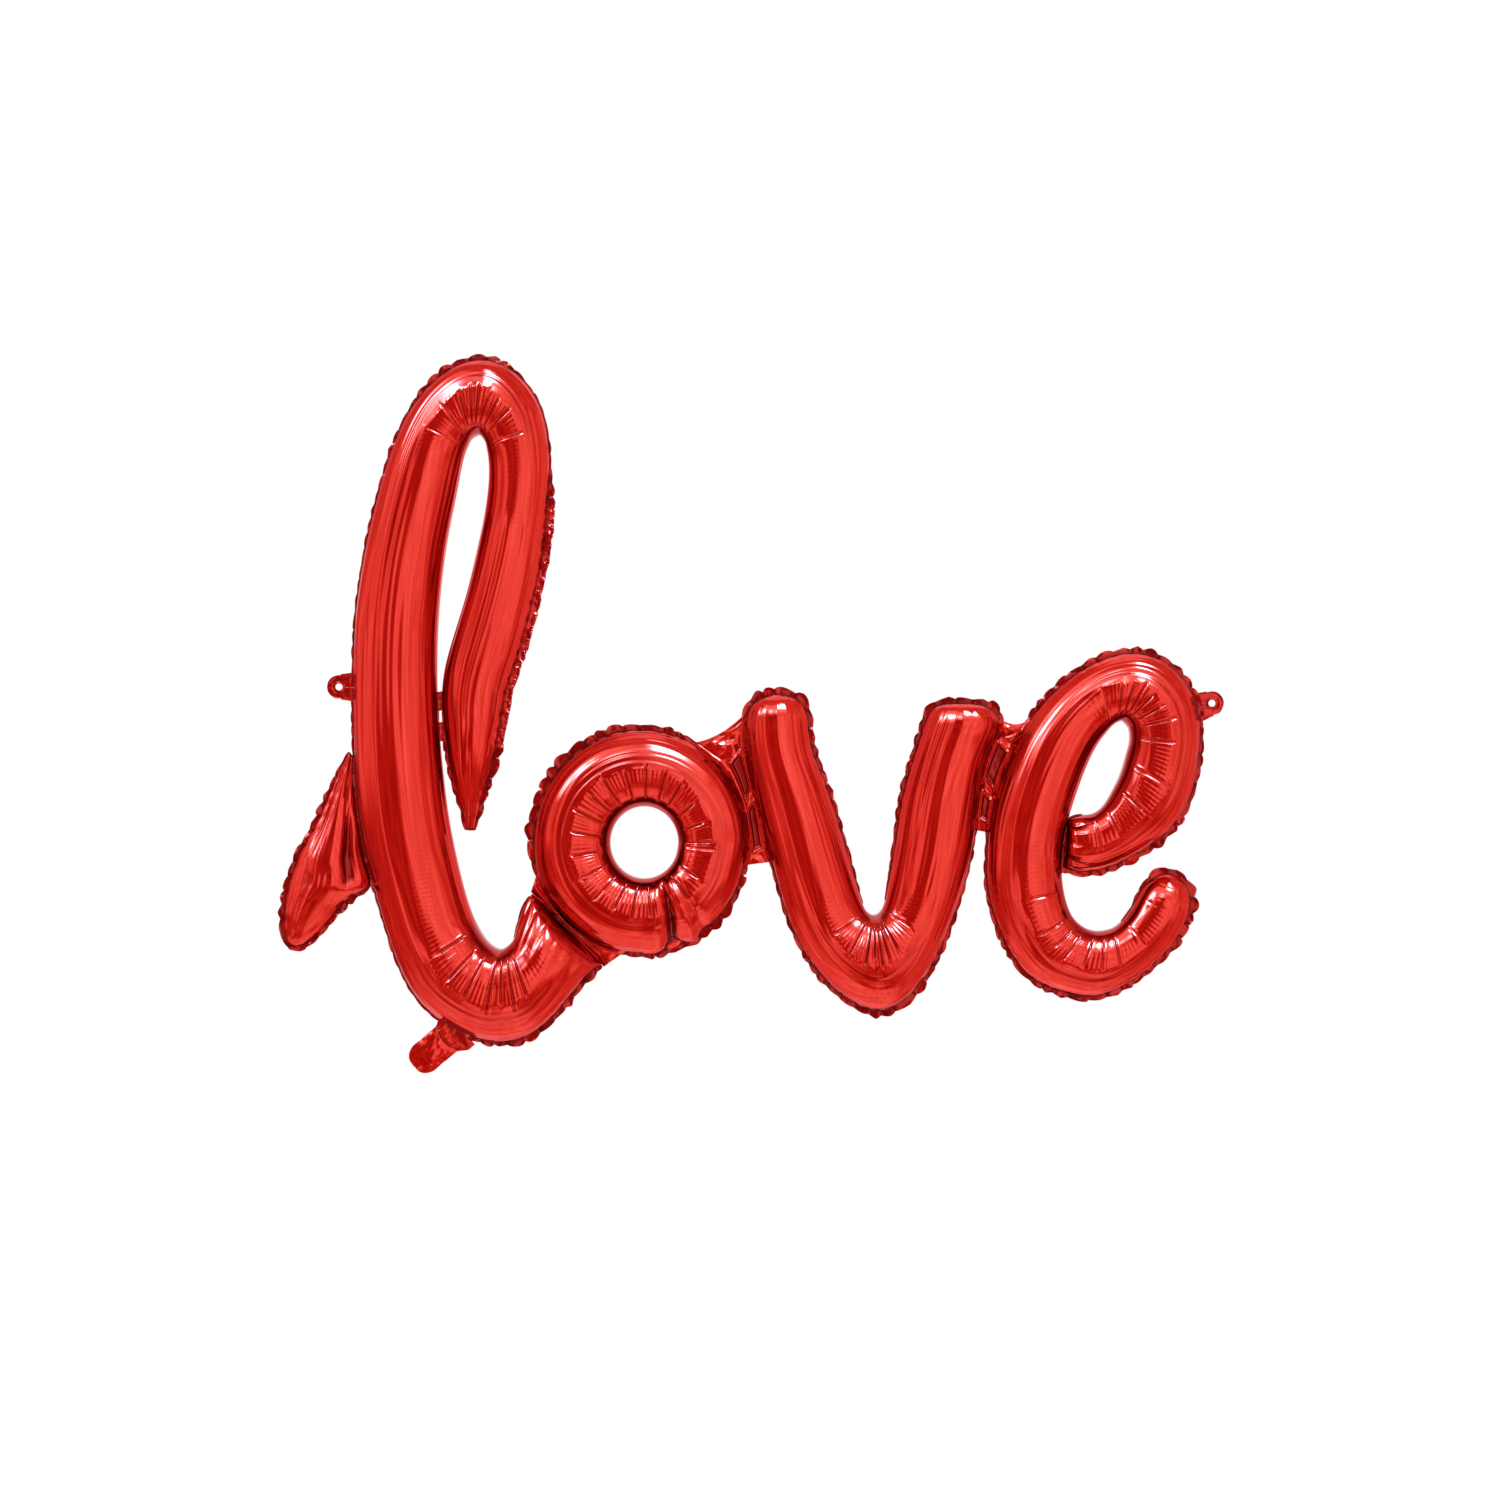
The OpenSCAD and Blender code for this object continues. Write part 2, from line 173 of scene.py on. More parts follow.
class Stroke:
    """Rows along the middle of a letter's stroke, close together where it is pleated. a and b are its
    inner and outer edges, w its half width, s the length run, t the rib number, bend the half width over
    the radius of the turn, turned the angle turned so far and pleat how far it is pleated, from 0 to 1."""

    def __init__(self, ribs, pleats=((0, 0),), fine=FINE_ROW, coarse=COARSE_ROW, closed=False):
        n = len(ribs)
        t = np.linspace(0, n if closed else n - 1, BY_RIB)
        e = cubic(ribs, t, closed) * MM
        mid = (e[:, :2] + e[:, 2:]) / 2
        run = along(mid)
        s = np.linspace(0, run[-1], BY_LENGTH)
        t = np.interp(s, run, t)
        e = np.stack([np.interp(s, run, c) for c in e.T], 1)
        d = np.gradient((e[:, :2] + e[:, 2:]) / 2, s[1], axis=0)
        way = np.unwrap(np.arctan2(d[:, 1], d[:, 0]))
        k = blur(np.gradient(way, s[1]), TURN_BLUR / s[1], closed)
        turned = np.cumsum(np.abs(k)) * s[1]
        pleat = table(t, pleats)
        close = smooth(0, CLOSEST_FROM, blur(pleat, PLEAT_BLUR / s[1], closed))
        rows = np.cumsum(1 / (coarse + (fine - coarse) * close)) * s[1] / MM
        self.s = np.interp(np.linspace(rows[0], rows[-1], int(rows[-1]) + 1), rows, s)
        self.t, k, self.turned, self.pleat = (np.interp(self.s, s, x) for x in (t, k, turned, pleat))
        e = np.stack([np.interp(self.s, s, c) for c in e.T], 1)
        self.a, self.b, self.length = e[:, :2], e[:, 2:], s[-1]
        self.mid = (self.a + self.b) / 2
        across = self.b - self.a
        self.w = np.linalg.norm(across, axis=1) / 2
        self.across = across / (2 * self.w)[:, None]
        self.bend = k * self.w


def along(line):
    """Length run along a line of points."""
    return np.concatenate([[0], np.cumsum(np.linalg.norm(np.diff(line, axis=0), axis=1))])


def table(t, pairs):
    """Values at t from given pairs of rib number and value, joined by straight lines."""
    return np.interp(t, [p[0] for p in pairs], [p[1] for p in pairs])


# Meshes
# UV units to the metre
UV = 10


class Piece:
    """Gathers grids of points into one mesh with a UV map in decimetres and a mask of painted shade."""

    def __init__(self):
        self.co, self.quads, self.uv, self.uvq, self.shade = [], [], [], [], []
        self.n = self.un = 0

    def grid(self, p, uv=None, flip=False, closed=False, shade=0.0, hide=None):
        """Adds rows and columns of points. A flipped grid faces the other way, a closed one joins its last
        row to its first, and the faces at hidden points are left out."""
        n, m = p.shape[:2]
        if uv is None:
            uv = p[..., [0, 2]] * UV
        i = np.arange(n * m).reshape(n, m)
        ui = i
        if closed:
            i = np.concatenate([i, i[:1]])
            ui = np.arange((n + 1) * m).reshape(n + 1, m)
            uv = np.concatenate([uv, uv[:1] + [2 * uv[-1, 0, 0] - uv[-2, 0, 0], 0]])
        q, uq = (np.stack([x[:-1, :-1], x[1:, :-1], x[1:, 1:], x[:-1, 1:]], -1).reshape(-1, 4)
                 for x in (i, ui))
        if hide is not None:
            keep = ~hide.ravel()[q].any(1)
            q, uq = q[keep], uq[keep]
        if flip:
            q, uq = q[:, ::-1], uq[:, ::-1]
        self.co.append(p.reshape(-1, 3))
        self.uv.append(uv.reshape(-1, 2))
        self.quads.append(q + self.n)
        self.uvq.append(uq + self.un)
        self.shade.append(np.broadcast_to(shade, (n, m)).ravel())
        self.n += n * m
        self.un += len(self.uv[-1])
        return self

    def make(self, name, material, slot, body=None, replaces=()):
        """Makes the mesh and its object, with its material, puts it on its body and hides the CAD nodes
        that it replaces. The slot is not used.
        """
        co, q, uq, uv = (np.concatenate(x) for x in (self.co, self.quads, self.uvq, self.uv))
        mesh = bpy.data.meshes.new(name)
        mesh.vertices.add(len(co))
        mesh.vertices.foreach_set("co", co.astype(np.float32).ravel())
        mesh.loops.add(q.size)
        mesh.loops.foreach_set("vertex_index", q.astype(np.int32).ravel())
        mesh.polygons.add(len(q))
        mesh.polygons.foreach_set("loop_start", np.arange(0, q.size, 4, dtype=np.int32))
        mesh.update(calc_edges=True)
        mesh.polygons.foreach_set("use_smooth", np.ones(len(q), bool))
        layer = mesh.uv_layers.new(name="UVMap")
        layer.data.foreach_set("uv", uv[uq.ravel()].astype(np.float32).ravel())
        # Painted shade: the foil materials mix their colour towards a dark red by this mask
        mesh.attributes.new("shade", "FLOAT", "POINT").data.foreach_set(
            "value", np.concatenate(self.shade).astype(np.float32))
        mesh.materials.append(material)
        obj = bpy.data.objects.new(name, mesh)
        scene.collection.objects.link(obj)
        if body:
            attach(obj, body)
        if replaces:
            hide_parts(*replaces)
        return obj


# Materials
# Share of a noise's range over which a ramp changes colour, and the colour sockets of a Mix node
RAMP_FROM, RAMP_TO = 0.35, 0.65
MIX_A, MIX_B, MIX_RESULT = 6, 7, 2
# Stretch and scale of the foil's streaks, scale of its crinkle, scale and range of its uneven roughness
STREAK_STRETCH, STREAK_SCALE = (0.6, 20.0, 1.0), 1.6
CRINKLE_SCALE = 180.0
WEAR_SCALE, WEAR = 40.0, 0.06


def new_material(name):
    """A new material, its node tree and its shader."""
    m = bpy.data.materials.new(name)
    m.use_nodes = True
    return m, m.node_tree, m.node_tree.nodes["Principled BSDF"]


def maths(tree, op, *values):
    """A Math node on sockets or plain numbers."""
    node = tree.nodes.new("ShaderNodeMath")
    node.operation = op
    for socket, v in zip(node.inputs, values):
        if isinstance(v, (int, float)):
            socket.default_value = v
        else:
            tree.links.new(v, socket)
    return node.outputs[0]


def noise_node(tree, vector, scale, detail):
    """Noise from 0 to 1 over a vector."""
    node = tree.nodes.new("ShaderNodeTexNoise")
    node.inputs["Scale"].default_value = scale
    node.inputs["Detail"].default_value = detail
    tree.links.new(vector, node.inputs["Vector"])
    return node.outputs["Fac"]


def bump(tree, height, distance, normal=None):
    """Normals tilted by a height from 0 to 1 over a distance in metres, on top of others if given."""
    node = tree.nodes.new("ShaderNodeBump")
    node.inputs["Distance"].default_value = distance
    node.inputs["Strength"].default_value = 1.0
    tree.links.new(height, node.inputs["Height"])
    if normal is not None:
        tree.links.new(normal, node.inputs["Normal"])
    return node.outputs["Normal"]


def ramp(tree, fac, low, high):
    """Colour that goes from low to high over the middle of a noise."""
    node = tree.nodes.new("ShaderNodeValToRGB")
    for stop, place, colour in zip(node.color_ramp.elements, (RAMP_FROM, RAMP_TO), (low, high)):
        stop.position, stop.color = place, (*colour, 1)
    tree.links.new(fac, node.inputs["Fac"])
    return node.outputs["Color"]


def foil_material(name, low, high, deep, rough, streaks, crinkle):
    """Metallised film: a red mirror under a thin clear coat, with faint streaks along the stroke and a fine
    crinkle, both given as heights in metres. Where the shade mask says, its colour is mixed towards deep,
    as painted shade."""
    m, tree, bsdf = new_material(name)
    coords = tree.nodes.new("ShaderNodeTexCoord")
    uv, place = coords.outputs["UV"], coords.outputs["Object"]
    mask = tree.nodes.new("ShaderNodeAttribute")
    mask.attribute_name = "shade"
    stretch = tree.nodes.new("ShaderNodeMapping")
    stretch.inputs["Scale"].default_value = STREAK_STRETCH
    tree.links.new(uv, stretch.inputs["Vector"])
    streak = noise_node(tree, stretch.outputs[0], STREAK_SCALE, 1.0)
    n = bump(tree, streak, streaks)
    n = bump(tree, noise_node(tree, place, CRINKLE_SCALE, 1.0), crinkle, n)
    tree.links.new(n, bsdf.inputs["Normal"])
    mix = tree.nodes.new("ShaderNodeMix")
    mix.data_type = "RGBA"
    tree.links.new(mask.outputs["Fac"], mix.inputs["Factor"])
    tree.links.new(ramp(tree, streak, low, high), mix.inputs[MIX_A])
    mix.inputs[MIX_B].default_value = (*deep, 1)
    tree.links.new(mix.outputs[MIX_RESULT], bsdf.inputs["Base Color"])
    wear = noise_node(tree, place, WEAR_SCALE, 2.0)
    tree.links.new(maths(tree, "MULTIPLY_ADD", wear, WEAR, rough - WEAR / 2), bsdf.inputs["Roughness"])
    bsdf.inputs["Metallic"].default_value = 1.0
    bsdf.inputs["Specular Tint"].default_value = (0.80, 0.20, 0.18, 1)
    bsdf.inputs["Coat Weight"].default_value = 0.5
    bsdf.inputs["Coat Roughness"].default_value = 0.15
    return m


# low and high are the colours that the streak noise runs between; deep is the colour of the painted shade
RED = foil_material("red_foil", (0.80, 0.030, 0.016), (0.94, 0.049, 0.031), (0.33, 0.004, 0.003),
                    rough=0.09, streaks=0.06 * MM, crinkle=0.02 * MM)
# The seal is the same red film as the skins; its darker colours are painted shade of the crimped flange
SEAL = foil_material("seal_foil", (0.51, 0.011, 0.006), (0.73, 0.031, 0.022), (0.24, 0.002, 0.002),
                     rough=0.16, streaks=0.16 * MM, crinkle=0.1 * MM)


def film_material():
    """Milky valve film, mottled and finely wrinkled."""
    m, tree, bsdf = new_material("valve_film")
    place = tree.nodes.new("ShaderNodeTexCoord").outputs["Object"]
    mottle, wrinkle = noise_node(tree, place, 40.0, 4.0), noise_node(tree, place, 120.0, 3.0)
    tree.links.new(ramp(tree, mottle, (0.72, 0.71, 0.67), (0.88, 0.87, 0.83)), bsdf.inputs["Base Color"])
    tree.links.new(bump(tree, wrinkle, 0.2 * MM), bsdf.inputs["Normal"])
    bsdf.inputs["Roughness"].default_value = 0.38
    return m


FILM = film_material()

# Puckered heat seals
# Pitch of the lobes, how far the seal reaches in under the foil, how far its rim is lifted out of the seam
# plane, the widths between which it turns into a flat strip, and the width under which it is left out
LOBE_PITCH, SEAL_TUCK, SEAL_LIFT = 14.5 * MM, 1.3 * MM, 1.5 * MM
FLAT_FROM, FLAT_TO, LEAST_SEAL = 6.6 * MM, 7.2 * MM, 0.95 * MM
# Spacing of points along a seal, rows of points across it, and steps across the end of a stroke
SEAL_STEP, SEAL_ROWS, END_STEPS = 0.8 * MM, 10, 12


def scallop(run, total, seed):
    """Phase of the seal's puckers along a closed line: a whole number of uneven lengths."""
    f = run / total * max(1, round(total / LOBE_PITCH))
    return f + 0.52 * noise(f * 0.55, 0.5, seed)


class Border:
    """Closed lines round a letter and the width of its seal along them. One line goes round an open
    stroke: along the inner edge, across the end, back along the outer edge and across the start. A ring
    has two lines. phase_a and phase_b give the pucker beside each row of its edges."""

    def __init__(self, ribs, widths, closed, seed):
        st = Stroke(ribs, coarse=FINE_ROW, closed=closed)
        wa, wb = table(st.t, widths[0]) * MM, table(st.t, widths[1]) * MM
        ra, rb = along(st.a), along(st.b)
        self.s, self.wa, self.wb, self.seed = st.s, wa, wb, seed
        if closed:
            self.lines = [(st.a[:-1], wa[:-1]), (st.b[:0:-1], wb[:0:-1])]
            self.phase_a = scallop(ra, ra[-1], seed)
            self.phase_b = scallop(rb[-1] - rb, rb[-1], seed)
        else:
            f = np.linspace(0, 1, END_STEPS)[1:-1]
            ends = [(p + (q - p) * f[:, None], u + (v - u) * f) for p, q, u, v in
                    ((st.a[-1], st.b[-1], wa[-1], wb[-1]), (st.b[0], st.a[0], wb[0], wa[0]))]
            self.lines = [(np.concatenate([st.a, ends[0][0], st.b[::-1], ends[1][0]]),
                           np.concatenate([wa, ends[0][1], wb[::-1], ends[1][1]]))]
            back = ra[-1] + rb[-1] + np.linalg.norm(st.a[-1] - st.b[-1])
            total = back + np.linalg.norm(st.a[0] - st.b[0])
            self.phase_a, self.phase_b = scallop(ra, total, seed), scallop(back - rb, total, seed)

    def seal(self, piece):
        """Welded strips along the lines: pointed and rounded lobes of uneven size between notches, each
        lifted and tilted out of the seam plane by its own amount towards the rim. The widest stretch is
        one flat strip, finely crumpled. Where the seal is next to nothing, it is left out."""
        for line, width in self.lines:
            run = along(np.concatenate([line, line[:1]]))
            total = run[-1]
            at = np.linspace(0, total, int(total / SEAL_STEP), endpoint=False)
            line, width = (np.stack([np.interp(at, run, np.append(c, c[0])) for c in x.T], -1)
                           for x in (line, width[:, None]))
            d = np.roll(line, -1, 0) - np.roll(line, 1, 0)
            d = np.stack([blur(c, 4, True) for c in d.T], 1)
            d /= np.linalg.norm(d, axis=1)[:, None]
            out = np.stack([-d[:, 1], d[:, 0]], 1)[:, None, :]
            r = np.linspace(0, 1, SEAL_ROWS)[None, :]
            phase = scallop(at, total, self.seed)[:, None]
            at = at[:, None]
            which = np.floor(phase)
            f = phase - which
            own = [noise(which, k, self.seed + 1) for k in range(6)]
            lobe = 1 - np.abs(2 * f ** (1 + 0.5 * own[0]) - 1) ** (1.8 + 0.8 * own[1])
            flat = smooth(FLAT_FROM, FLAT_TO, width)
            size = 0.66 + lobe * (0.42 + 0.24 * own[2])
            size = size * (1 - flat) + flat * (0.88 + 0.14 * noise(at / (5 * MM), 0.5, self.seed + 3))
            lift = 0.9 * own[3] + 1.3 * own[4] * (2 * f - 1)
            lift = lift + 0.5 * noise(phase * 3.1, r * 2, self.seed + 2)
            crumple = 6.0 * (ridged(at / (7 * MM), r * 1.2, self.seed + 4) - 0.62)
            wide = smooth(0.8 * MM, 4.5 * MM, width)
            y = SEAL_LIFT * wide * r * (lift * (1 - np.abs(2 * f - 1) ** 4) * (1 - flat) + crumple * flat)
            xz = line[:, None, :] + out * (width * size * r - SEAL_TUCK * (1 - r))[..., None]
            uv = np.stack([np.broadcast_to(at, y.shape), width * r], -1) * UV
            # Painted shade: each lobe darker at its notches, towards the seam and by an amount of its own;
            # none on the flat strip
            shade = (0.15 + 0.5 * (1 - lobe) + 0.3 * own[5] + 0.35 * (1 - r)) * (1 - flat)
            piece.grid(np.stack([xz[..., 0], y, xz[..., 1]], -1), uv, closed=True,
                       shade=np.clip(shade, 0, 1), hide=np.broadcast_to(width < LEAST_SEAL, y.shape))


# Widths of the seal in millimetres along the inner and the outer edge of each letter, by rib number
WIDTHS = {
    "l": ([(0, 2.5), (2, 3), (4, 2.5), (5, 0.8), (31, 0.7), (33, 1.2), (34.2, 1.8), (34.7, 0.7), (35, 0.7)],
          [(0, 2.5), (1, 3.5), (3, 5.5), (4, 7), (10, 7.5), (11, 1.8), (13.4, 1.4), (14.2, 4), (16, 5),
           (17, 3.5), (19, 3.2), (21, 2.2), (25, 2), (28, 2.4), (30, 4), (32, 5.5), (34, 5),
           (34.5, 3), (34.8, 0.7), (35, 0.7)]),
    "entry": ([(0, 2.2), (4.4, 2.2), (5, 2.5), (5.6, 4.5), (9, 5)], [(0, 2), (1, 3.5), (3, 4.5), (9, 5)]),
    "o": ([(0, 0.7), (12, 0.7)],
          [(0, 2.5), (1.5, 3), (2.5, 5.5), (3.5, 6.4), (6, 6.4), (6.6, 2), (8.5, 2), (9, 5), (10.5, 6),
           (11.3, 4), (12, 2.5)]),
    "v": ([(0, 6), (1, 6), (2, 5), (3, 4.5), (5, 3.5), (6.5, 2.5), (8, 0.9), (11, 0.7), (14, 0.9),
           (15.5, 2.5), (17, 3.5), (18, 4), (20, 5), (22, 6)],
          [(0, 6), (1, 6), (2, 4), (5, 2), (7, 2), (9, 3.5), (11, 6.5), (13, 5), (15, 2.5), (17, 2),
           (19, 2.5), (20, 4), (21, 6), (22, 6)]),
    "e": ([(0, 2.5), (1, 1.5), (2, 0.8), (26, 0.8), (28, 1.2), (29.5, 3), (31, 6), (32, 6.5)],
          [(0, 5), (1, 5), (5, 6), (7, 4.5), (9, 4), (11, 5), (13, 5.5), (15, 4), (17, 2), (20, 2.5),
           (22, 3.5), (24, 5), (27, 5.5), (29, 6.5), (32, 6.5)]),
}
# How far each letter is pleated on the inside of its bends, by rib number
PLEATS = {
    "l": [(0, 0), (9.2, 0), (10.2, 0.7), (12, 1), (16, 1), (17.3, 0.5), (18.2, 0), (25.3, 0), (26.5, 0.6),
          (28, 1), (31.5, 1), (33, 0.3), (34, 0)],
    "entry": [(0, 0)],
    "o": [(0, 1), (12, 1)],
    "v": [(0, 0), (7, 0), (8, 0.7), (9, 1), (13, 1), (14.3, 0.7), (15.2, 0)],
    "e": [(0, 0), (1.5, 0.3), (2.5, 0.8), (4, 1), (12.5, 1), (13.6, 0.5), (14.5, 0), (18.5, 0), (20, 0.8),
          (21.5, 1), (28, 1), (29.5, 0.4), (31, 0)],
}
# Where a letter's outer flank faces its neighbour across a pinched web, by rib number;
# there the flank gets painted shade
FLANKS = {
    "l": [(33, 0), (34.3, 1)],
    "entry": [(0, 0)],
    "o": [(0, 1), (1.7, 1), (2.2, 0), (6.2, 0), (6.8, 1), (8.5, 1), (9, 0), (11.3, 0), (11.7, 1)],
    "v": [(1, 0), (1.6, 1), (6, 1), (6.6, 0), (16.2, 0), (16.8, 1), (20, 1), (20.6, 0)],
    "e": [(15, 0), (15.6, 1), (18.2, 1), (18.8, 0)],
}


# Inflated skins
# Degrees of bend for one panel between pleats, pitch of the ladder's ribs, boxiness inside a bend
PANEL_TURN = 17.5
RUNG = 4.3 * MM
BOXY = 0.30
# Half widths of a pleat's valley and of its lips, the lips' distance from it, and heights in millimetres
VALLEY_WIDE, LIPS_WIDE, LIPS_OFF = 0.8 * MM, 1.0 * MM, 2.2 * MM
VALLEY_DOWN, LIPS_UP, RIDGE_UP, GROOVE_DOWN = 1.2, 0.45, 0.40, 0.45
# Half width of the tube that the folds are drawn for, reach of the puckers from the seal, and the least
# depth of a rolled-in end as a share
USUAL_HALF, PUCKER_REACH, LEAST_ROLL = 35 * MM, 8 * MM, 0.08


def pleats(st, c, strong, seed):
    """Inside of the bends, as height and painted shade over the rows and the share c across. Thin valleys
    with raised lips run out from the inner edge, one for every PANEL_TURN degrees of bend. The panels
    between them are bulged and tilted, end in a ladder of ribs, RUNG apart, and a low ridge at the crest,
    and a groove parts them from the taut outer half. The valleys, the inner edge and the groove get
    painted shade."""
    s, pleat = st.s[:, None], st.pleat[:, None]
    turn = st.turned / np.radians(PANEL_TURN)
    phase = turn + 0.22 * noise(turn * 0.7, 0.3, seed + 5)
    length = (np.gradient(st.s) / np.maximum(np.gradient(phase), 1e-5))[:, None]
    phase = phase[:, None]
    which, edge = np.floor(phase), np.round(phase)
    f = phase - which
    own = [noise(which, k, seed + 6) for k in range(5)]
    crest = 0.465 + 0.025 * own[0]
    inside = smooth(0.08, 0.17, c) * (1 - smooth(crest - 0.03, crest + 0.02, c))
    gap = np.minimum(f, 1 - f) * np.minimum(length, 30 * MM)
    reach = 0.43 + 0.08 * noise(edge, 7, seed + 6)
    run = smooth(0.10, 0.17, c) * (1 - smooth(reach - 0.03, reach + 0.03, c))
    valley = run * bell(gap, VALLEY_WIDE)
    lips = run * bell(gap - LIPS_OFF, LIPS_WIDE)
    panel = inside * (0.9 * (1 - (2 * f - 1) ** 2) + 1.4 * own[1] * (f - 0.5))
    ridge, groove = bell(c - crest, 0.035) * (1 - 0.8 * valley), bell(c - 0.555, 0.05)
    for k, place in enumerate((0.56, 0.64)):
        wander = place + 0.03 * noise(s / (60 * MM), 0.5 + k, seed + 8)
        here = smooth(-0.3, 0.3, noise(s / (45 * MM), 3.5 + k, seed + 8))
        groove = groove + here * bell(c - wander, 0.014)
    h = LIPS_UP * lips - VALLEY_DOWN * valley + panel + RIDGE_UP * ridge - GROOVE_DOWN * groove
    h *= MM * strong
    rungs = 1 - cusps(s / RUNG + 0.5 * noise(s / (20 * MM), 0.4, seed + 7), 0.8)
    low = 0.20 + 0.07 * own[2]
    ladder = smooth(low, low + 0.10, c) * (1 - smooth(crest - 0.04, crest + 0.02, c))
    h -= MM * pleat * ladder * np.clip(0.38 + 0.16 * own[3], 0.22, 0.50) * rungs
    # Painted shade: in the valleys, along the inner edge and in the groove
    return h, strong * (0.5 * valley + 0.7 * (1 - smooth(0.04, 0.17, c)) + 0.2 * groove)


def tension(phi, s, calm, seed):
    """Long folds that run with the stroke, in millimetres: noise drawn out along it, at four widths, and
    thin creases along the zero lines of more such noise. All but the widest are lessened by calm."""
    fold = 0.45 * noise(phi * 1.5, s / 0.10, seed)
    for k, (across, run, high) in enumerate(((3.4, 0.16, 0.42), (7.0, 0.14, 0.42), (13.0, 0.12, 0.22))):
        fold = fold + calm * high * noise(phi * across, s / run, seed + 1 + k)
    for k, (across, deep) in enumerate(((1.5, 0.36), (2.9, 0.26))):
        wander = 0.25 * noise(s / 0.15, 0.5, seed + 20 + k)
        fold = fold - calm * deep * bell(noise(phi * across + wander, s / 0.26, seed + 22 + k), 0.16)
    return fold


def skin(st, side, cols, seed, border, flank, tuck_first=0.0, tuck_last=0.0, extra=None, full=FULLNESS,
         spread=1.0):
    """One foil of a letter: a half round over each row, w across and `full` times w deep, a little boxy
    on the inside of a bend, moved along its own normal by pleats, tension folds, short puckers that start
    at the seal's notches and the letter's own folds. Its ends roll in over the tuck lengths. The pleats
    reach `spread` times as far across as usual. Painted shade darkens the pleats, the deep folds, the
    puckers at the seal's notches and the flanks that face another letter."""
    phi = np.linspace(0, np.pi, cols + 1)[None, :]
    s, w, bend, pleat = (x[:, None] for x in (st.s, st.w, st.bend, st.pleat))
    c = (1 - np.cos(phi)) / 2
    rim = np.minimum(1, np.sin(phi) / 0.3)
    size = np.minimum(w / USUAL_HALF, 1.2)
    strong = pleat * smooth(0.08, 0.35, bend)
    inner = c / (1 + (spread - 1) * smooth(0, 0.3, c))
    h, shade = pleats(st, inner, strong, seed)
    # Painted shade on the outer flank where it faces another letter across a web
    shade = shade + 0.3 * flank * smooth(0.80, 0.97, c)
    calm = 1 - 0.75 * smooth(0.1, 0.6, pleat) * (1 - smooth(0.48, 0.60, inner))
    h = size * (h + rim * MM * tension(phi, s, calm, seed))
    for wide, phase, d in ((border.wa, border.phase_a, w * phi),
                           (border.wb, border.phase_b, w * (np.pi - phi))):
        wide, phase = (np.interp(st.s, border.s, x)[:, None] for x in (wide, phase))
        notch = (1 - cusps(phase, 0.5)) * np.exp(-(d / PUCKER_REACH) ** 1.4)
        h -= 0.45 * np.maximum(wide - 1.0 * MM, 0) * notch * smooth(0, 3 * MM, d)
        # Painted shade at the seal's notches
        shade += 0.4 * smooth(1.5 * MM, 4 * MM, wide) * notch
    roll = np.ones_like(st.s)
    for reach, d in ((tuck_first, st.s), (tuck_last, st.length - st.s)):
        if reach:
            round_end = np.sqrt(np.clip(1 - (1 - d / reach) ** 2, LEAST_ROLL ** 2, 1))
            roll = roll * np.where(d < reach, round_end, 1)
    roll = roll[:, None]
    if extra is not None:
        fold = rim * extra(st.t[:, None], phi, s)
        h += fold
        # Painted shade in the deep folds
        shade += 0.95 * smooth(2.0 * MM, 5.5 * MM, -fold)
    h *= np.minimum(1, roll * 1.2)
    plan = st.mid[:, None, :] - st.across[:, None, :] * (np.cos(phi) * (w + h))[..., None]
    depth = np.sin(phi) ** (1 - BOXY * strong * (1 - smooth(0.42, 0.5, inner)))
    p = np.stack([plan[..., 0], side * (full * w * roll * depth + np.sin(phi) * h), plan[..., 1]], -1)
    uv = np.stack([np.broadcast_to(s, h.shape), w * phi], -1) * UV
    return p, uv, np.clip(shade, 0, 1)


def close_ends(*grids):
    """Adds a row at each end of the points, drawn together in the seam plane; repeats the rest's ends."""
    p = grids[0]
    ends = p[[0, -1]].mean(1, keepdims=True) * [1, 0, 1]
    ends = np.broadcast_to(ends, (2, *p.shape[1:]))
    rest = [np.concatenate([x[:1], x, x[-1:]]) for x in grids[1:]]
    return [np.concatenate([ends[:1], p, ends[1:]])] + rest


def letter(name, stem, ribs, cols, seed, body, fine=FINE_ROW, closed=False, **how):
    """Front and back skins of one letter, riding on its body; returns its seal, not yet made."""
    st = Stroke(ribs, PLEATS[name], fine, closed=closed)
    border = Border(ribs, WIDTHS[name], closed, seed + 60)
    flank = table(st.t, FLANKS[name])[:, None]
    for side, word in ((-1, "front"), (1, "back")):
        p, uv, shade = skin(st, side, cols, seed if side < 0 else seed + 40, border, flank, **how)
        if closed:
            f = smooth(0.93, 1.0, st.s / st.length)[:, None, None]
            p, uv, shade = (p * (1 - f) + p[:1] * f)[:-1], uv[:-1], shade[:-1]
        else:
            p, uv, shade = close_ends(p, uv, shade)
        piece = Piece().grid(p, uv, flip=side > 0, closed=closed, shade=shade)
        piece.make(f"{stem}_{word}_foil_skin", RED, "red_foil", body, [f"{stem}_{word}_foil"])
    seal = Piece()
    border.seal(seal)
    return seal


def l_extra(t, phi, s):
    """Folds of the l: lengthwise ones that come together at the loop's tip, and a few that gather at the
    top corner of its fold with the o."""
    thirds = phi / np.pi * 3 + 0.5 + 0.12 * noise(s / 0.02, 0.5, 72)
    tip = (1 - smooth(2.0, 5.5, t)) * 1.8 * MM * (1 - cusps(thirds, 0.7))
    end = smooth(31.5, 34.4, t) * (1 - smooth(0.9, 1.7, phi))
    return -tip - end * 2.6 * MM * (1 - cusps(phi * 2.6 + 0.2 * noise(t, 0.5, 71), 0.8))


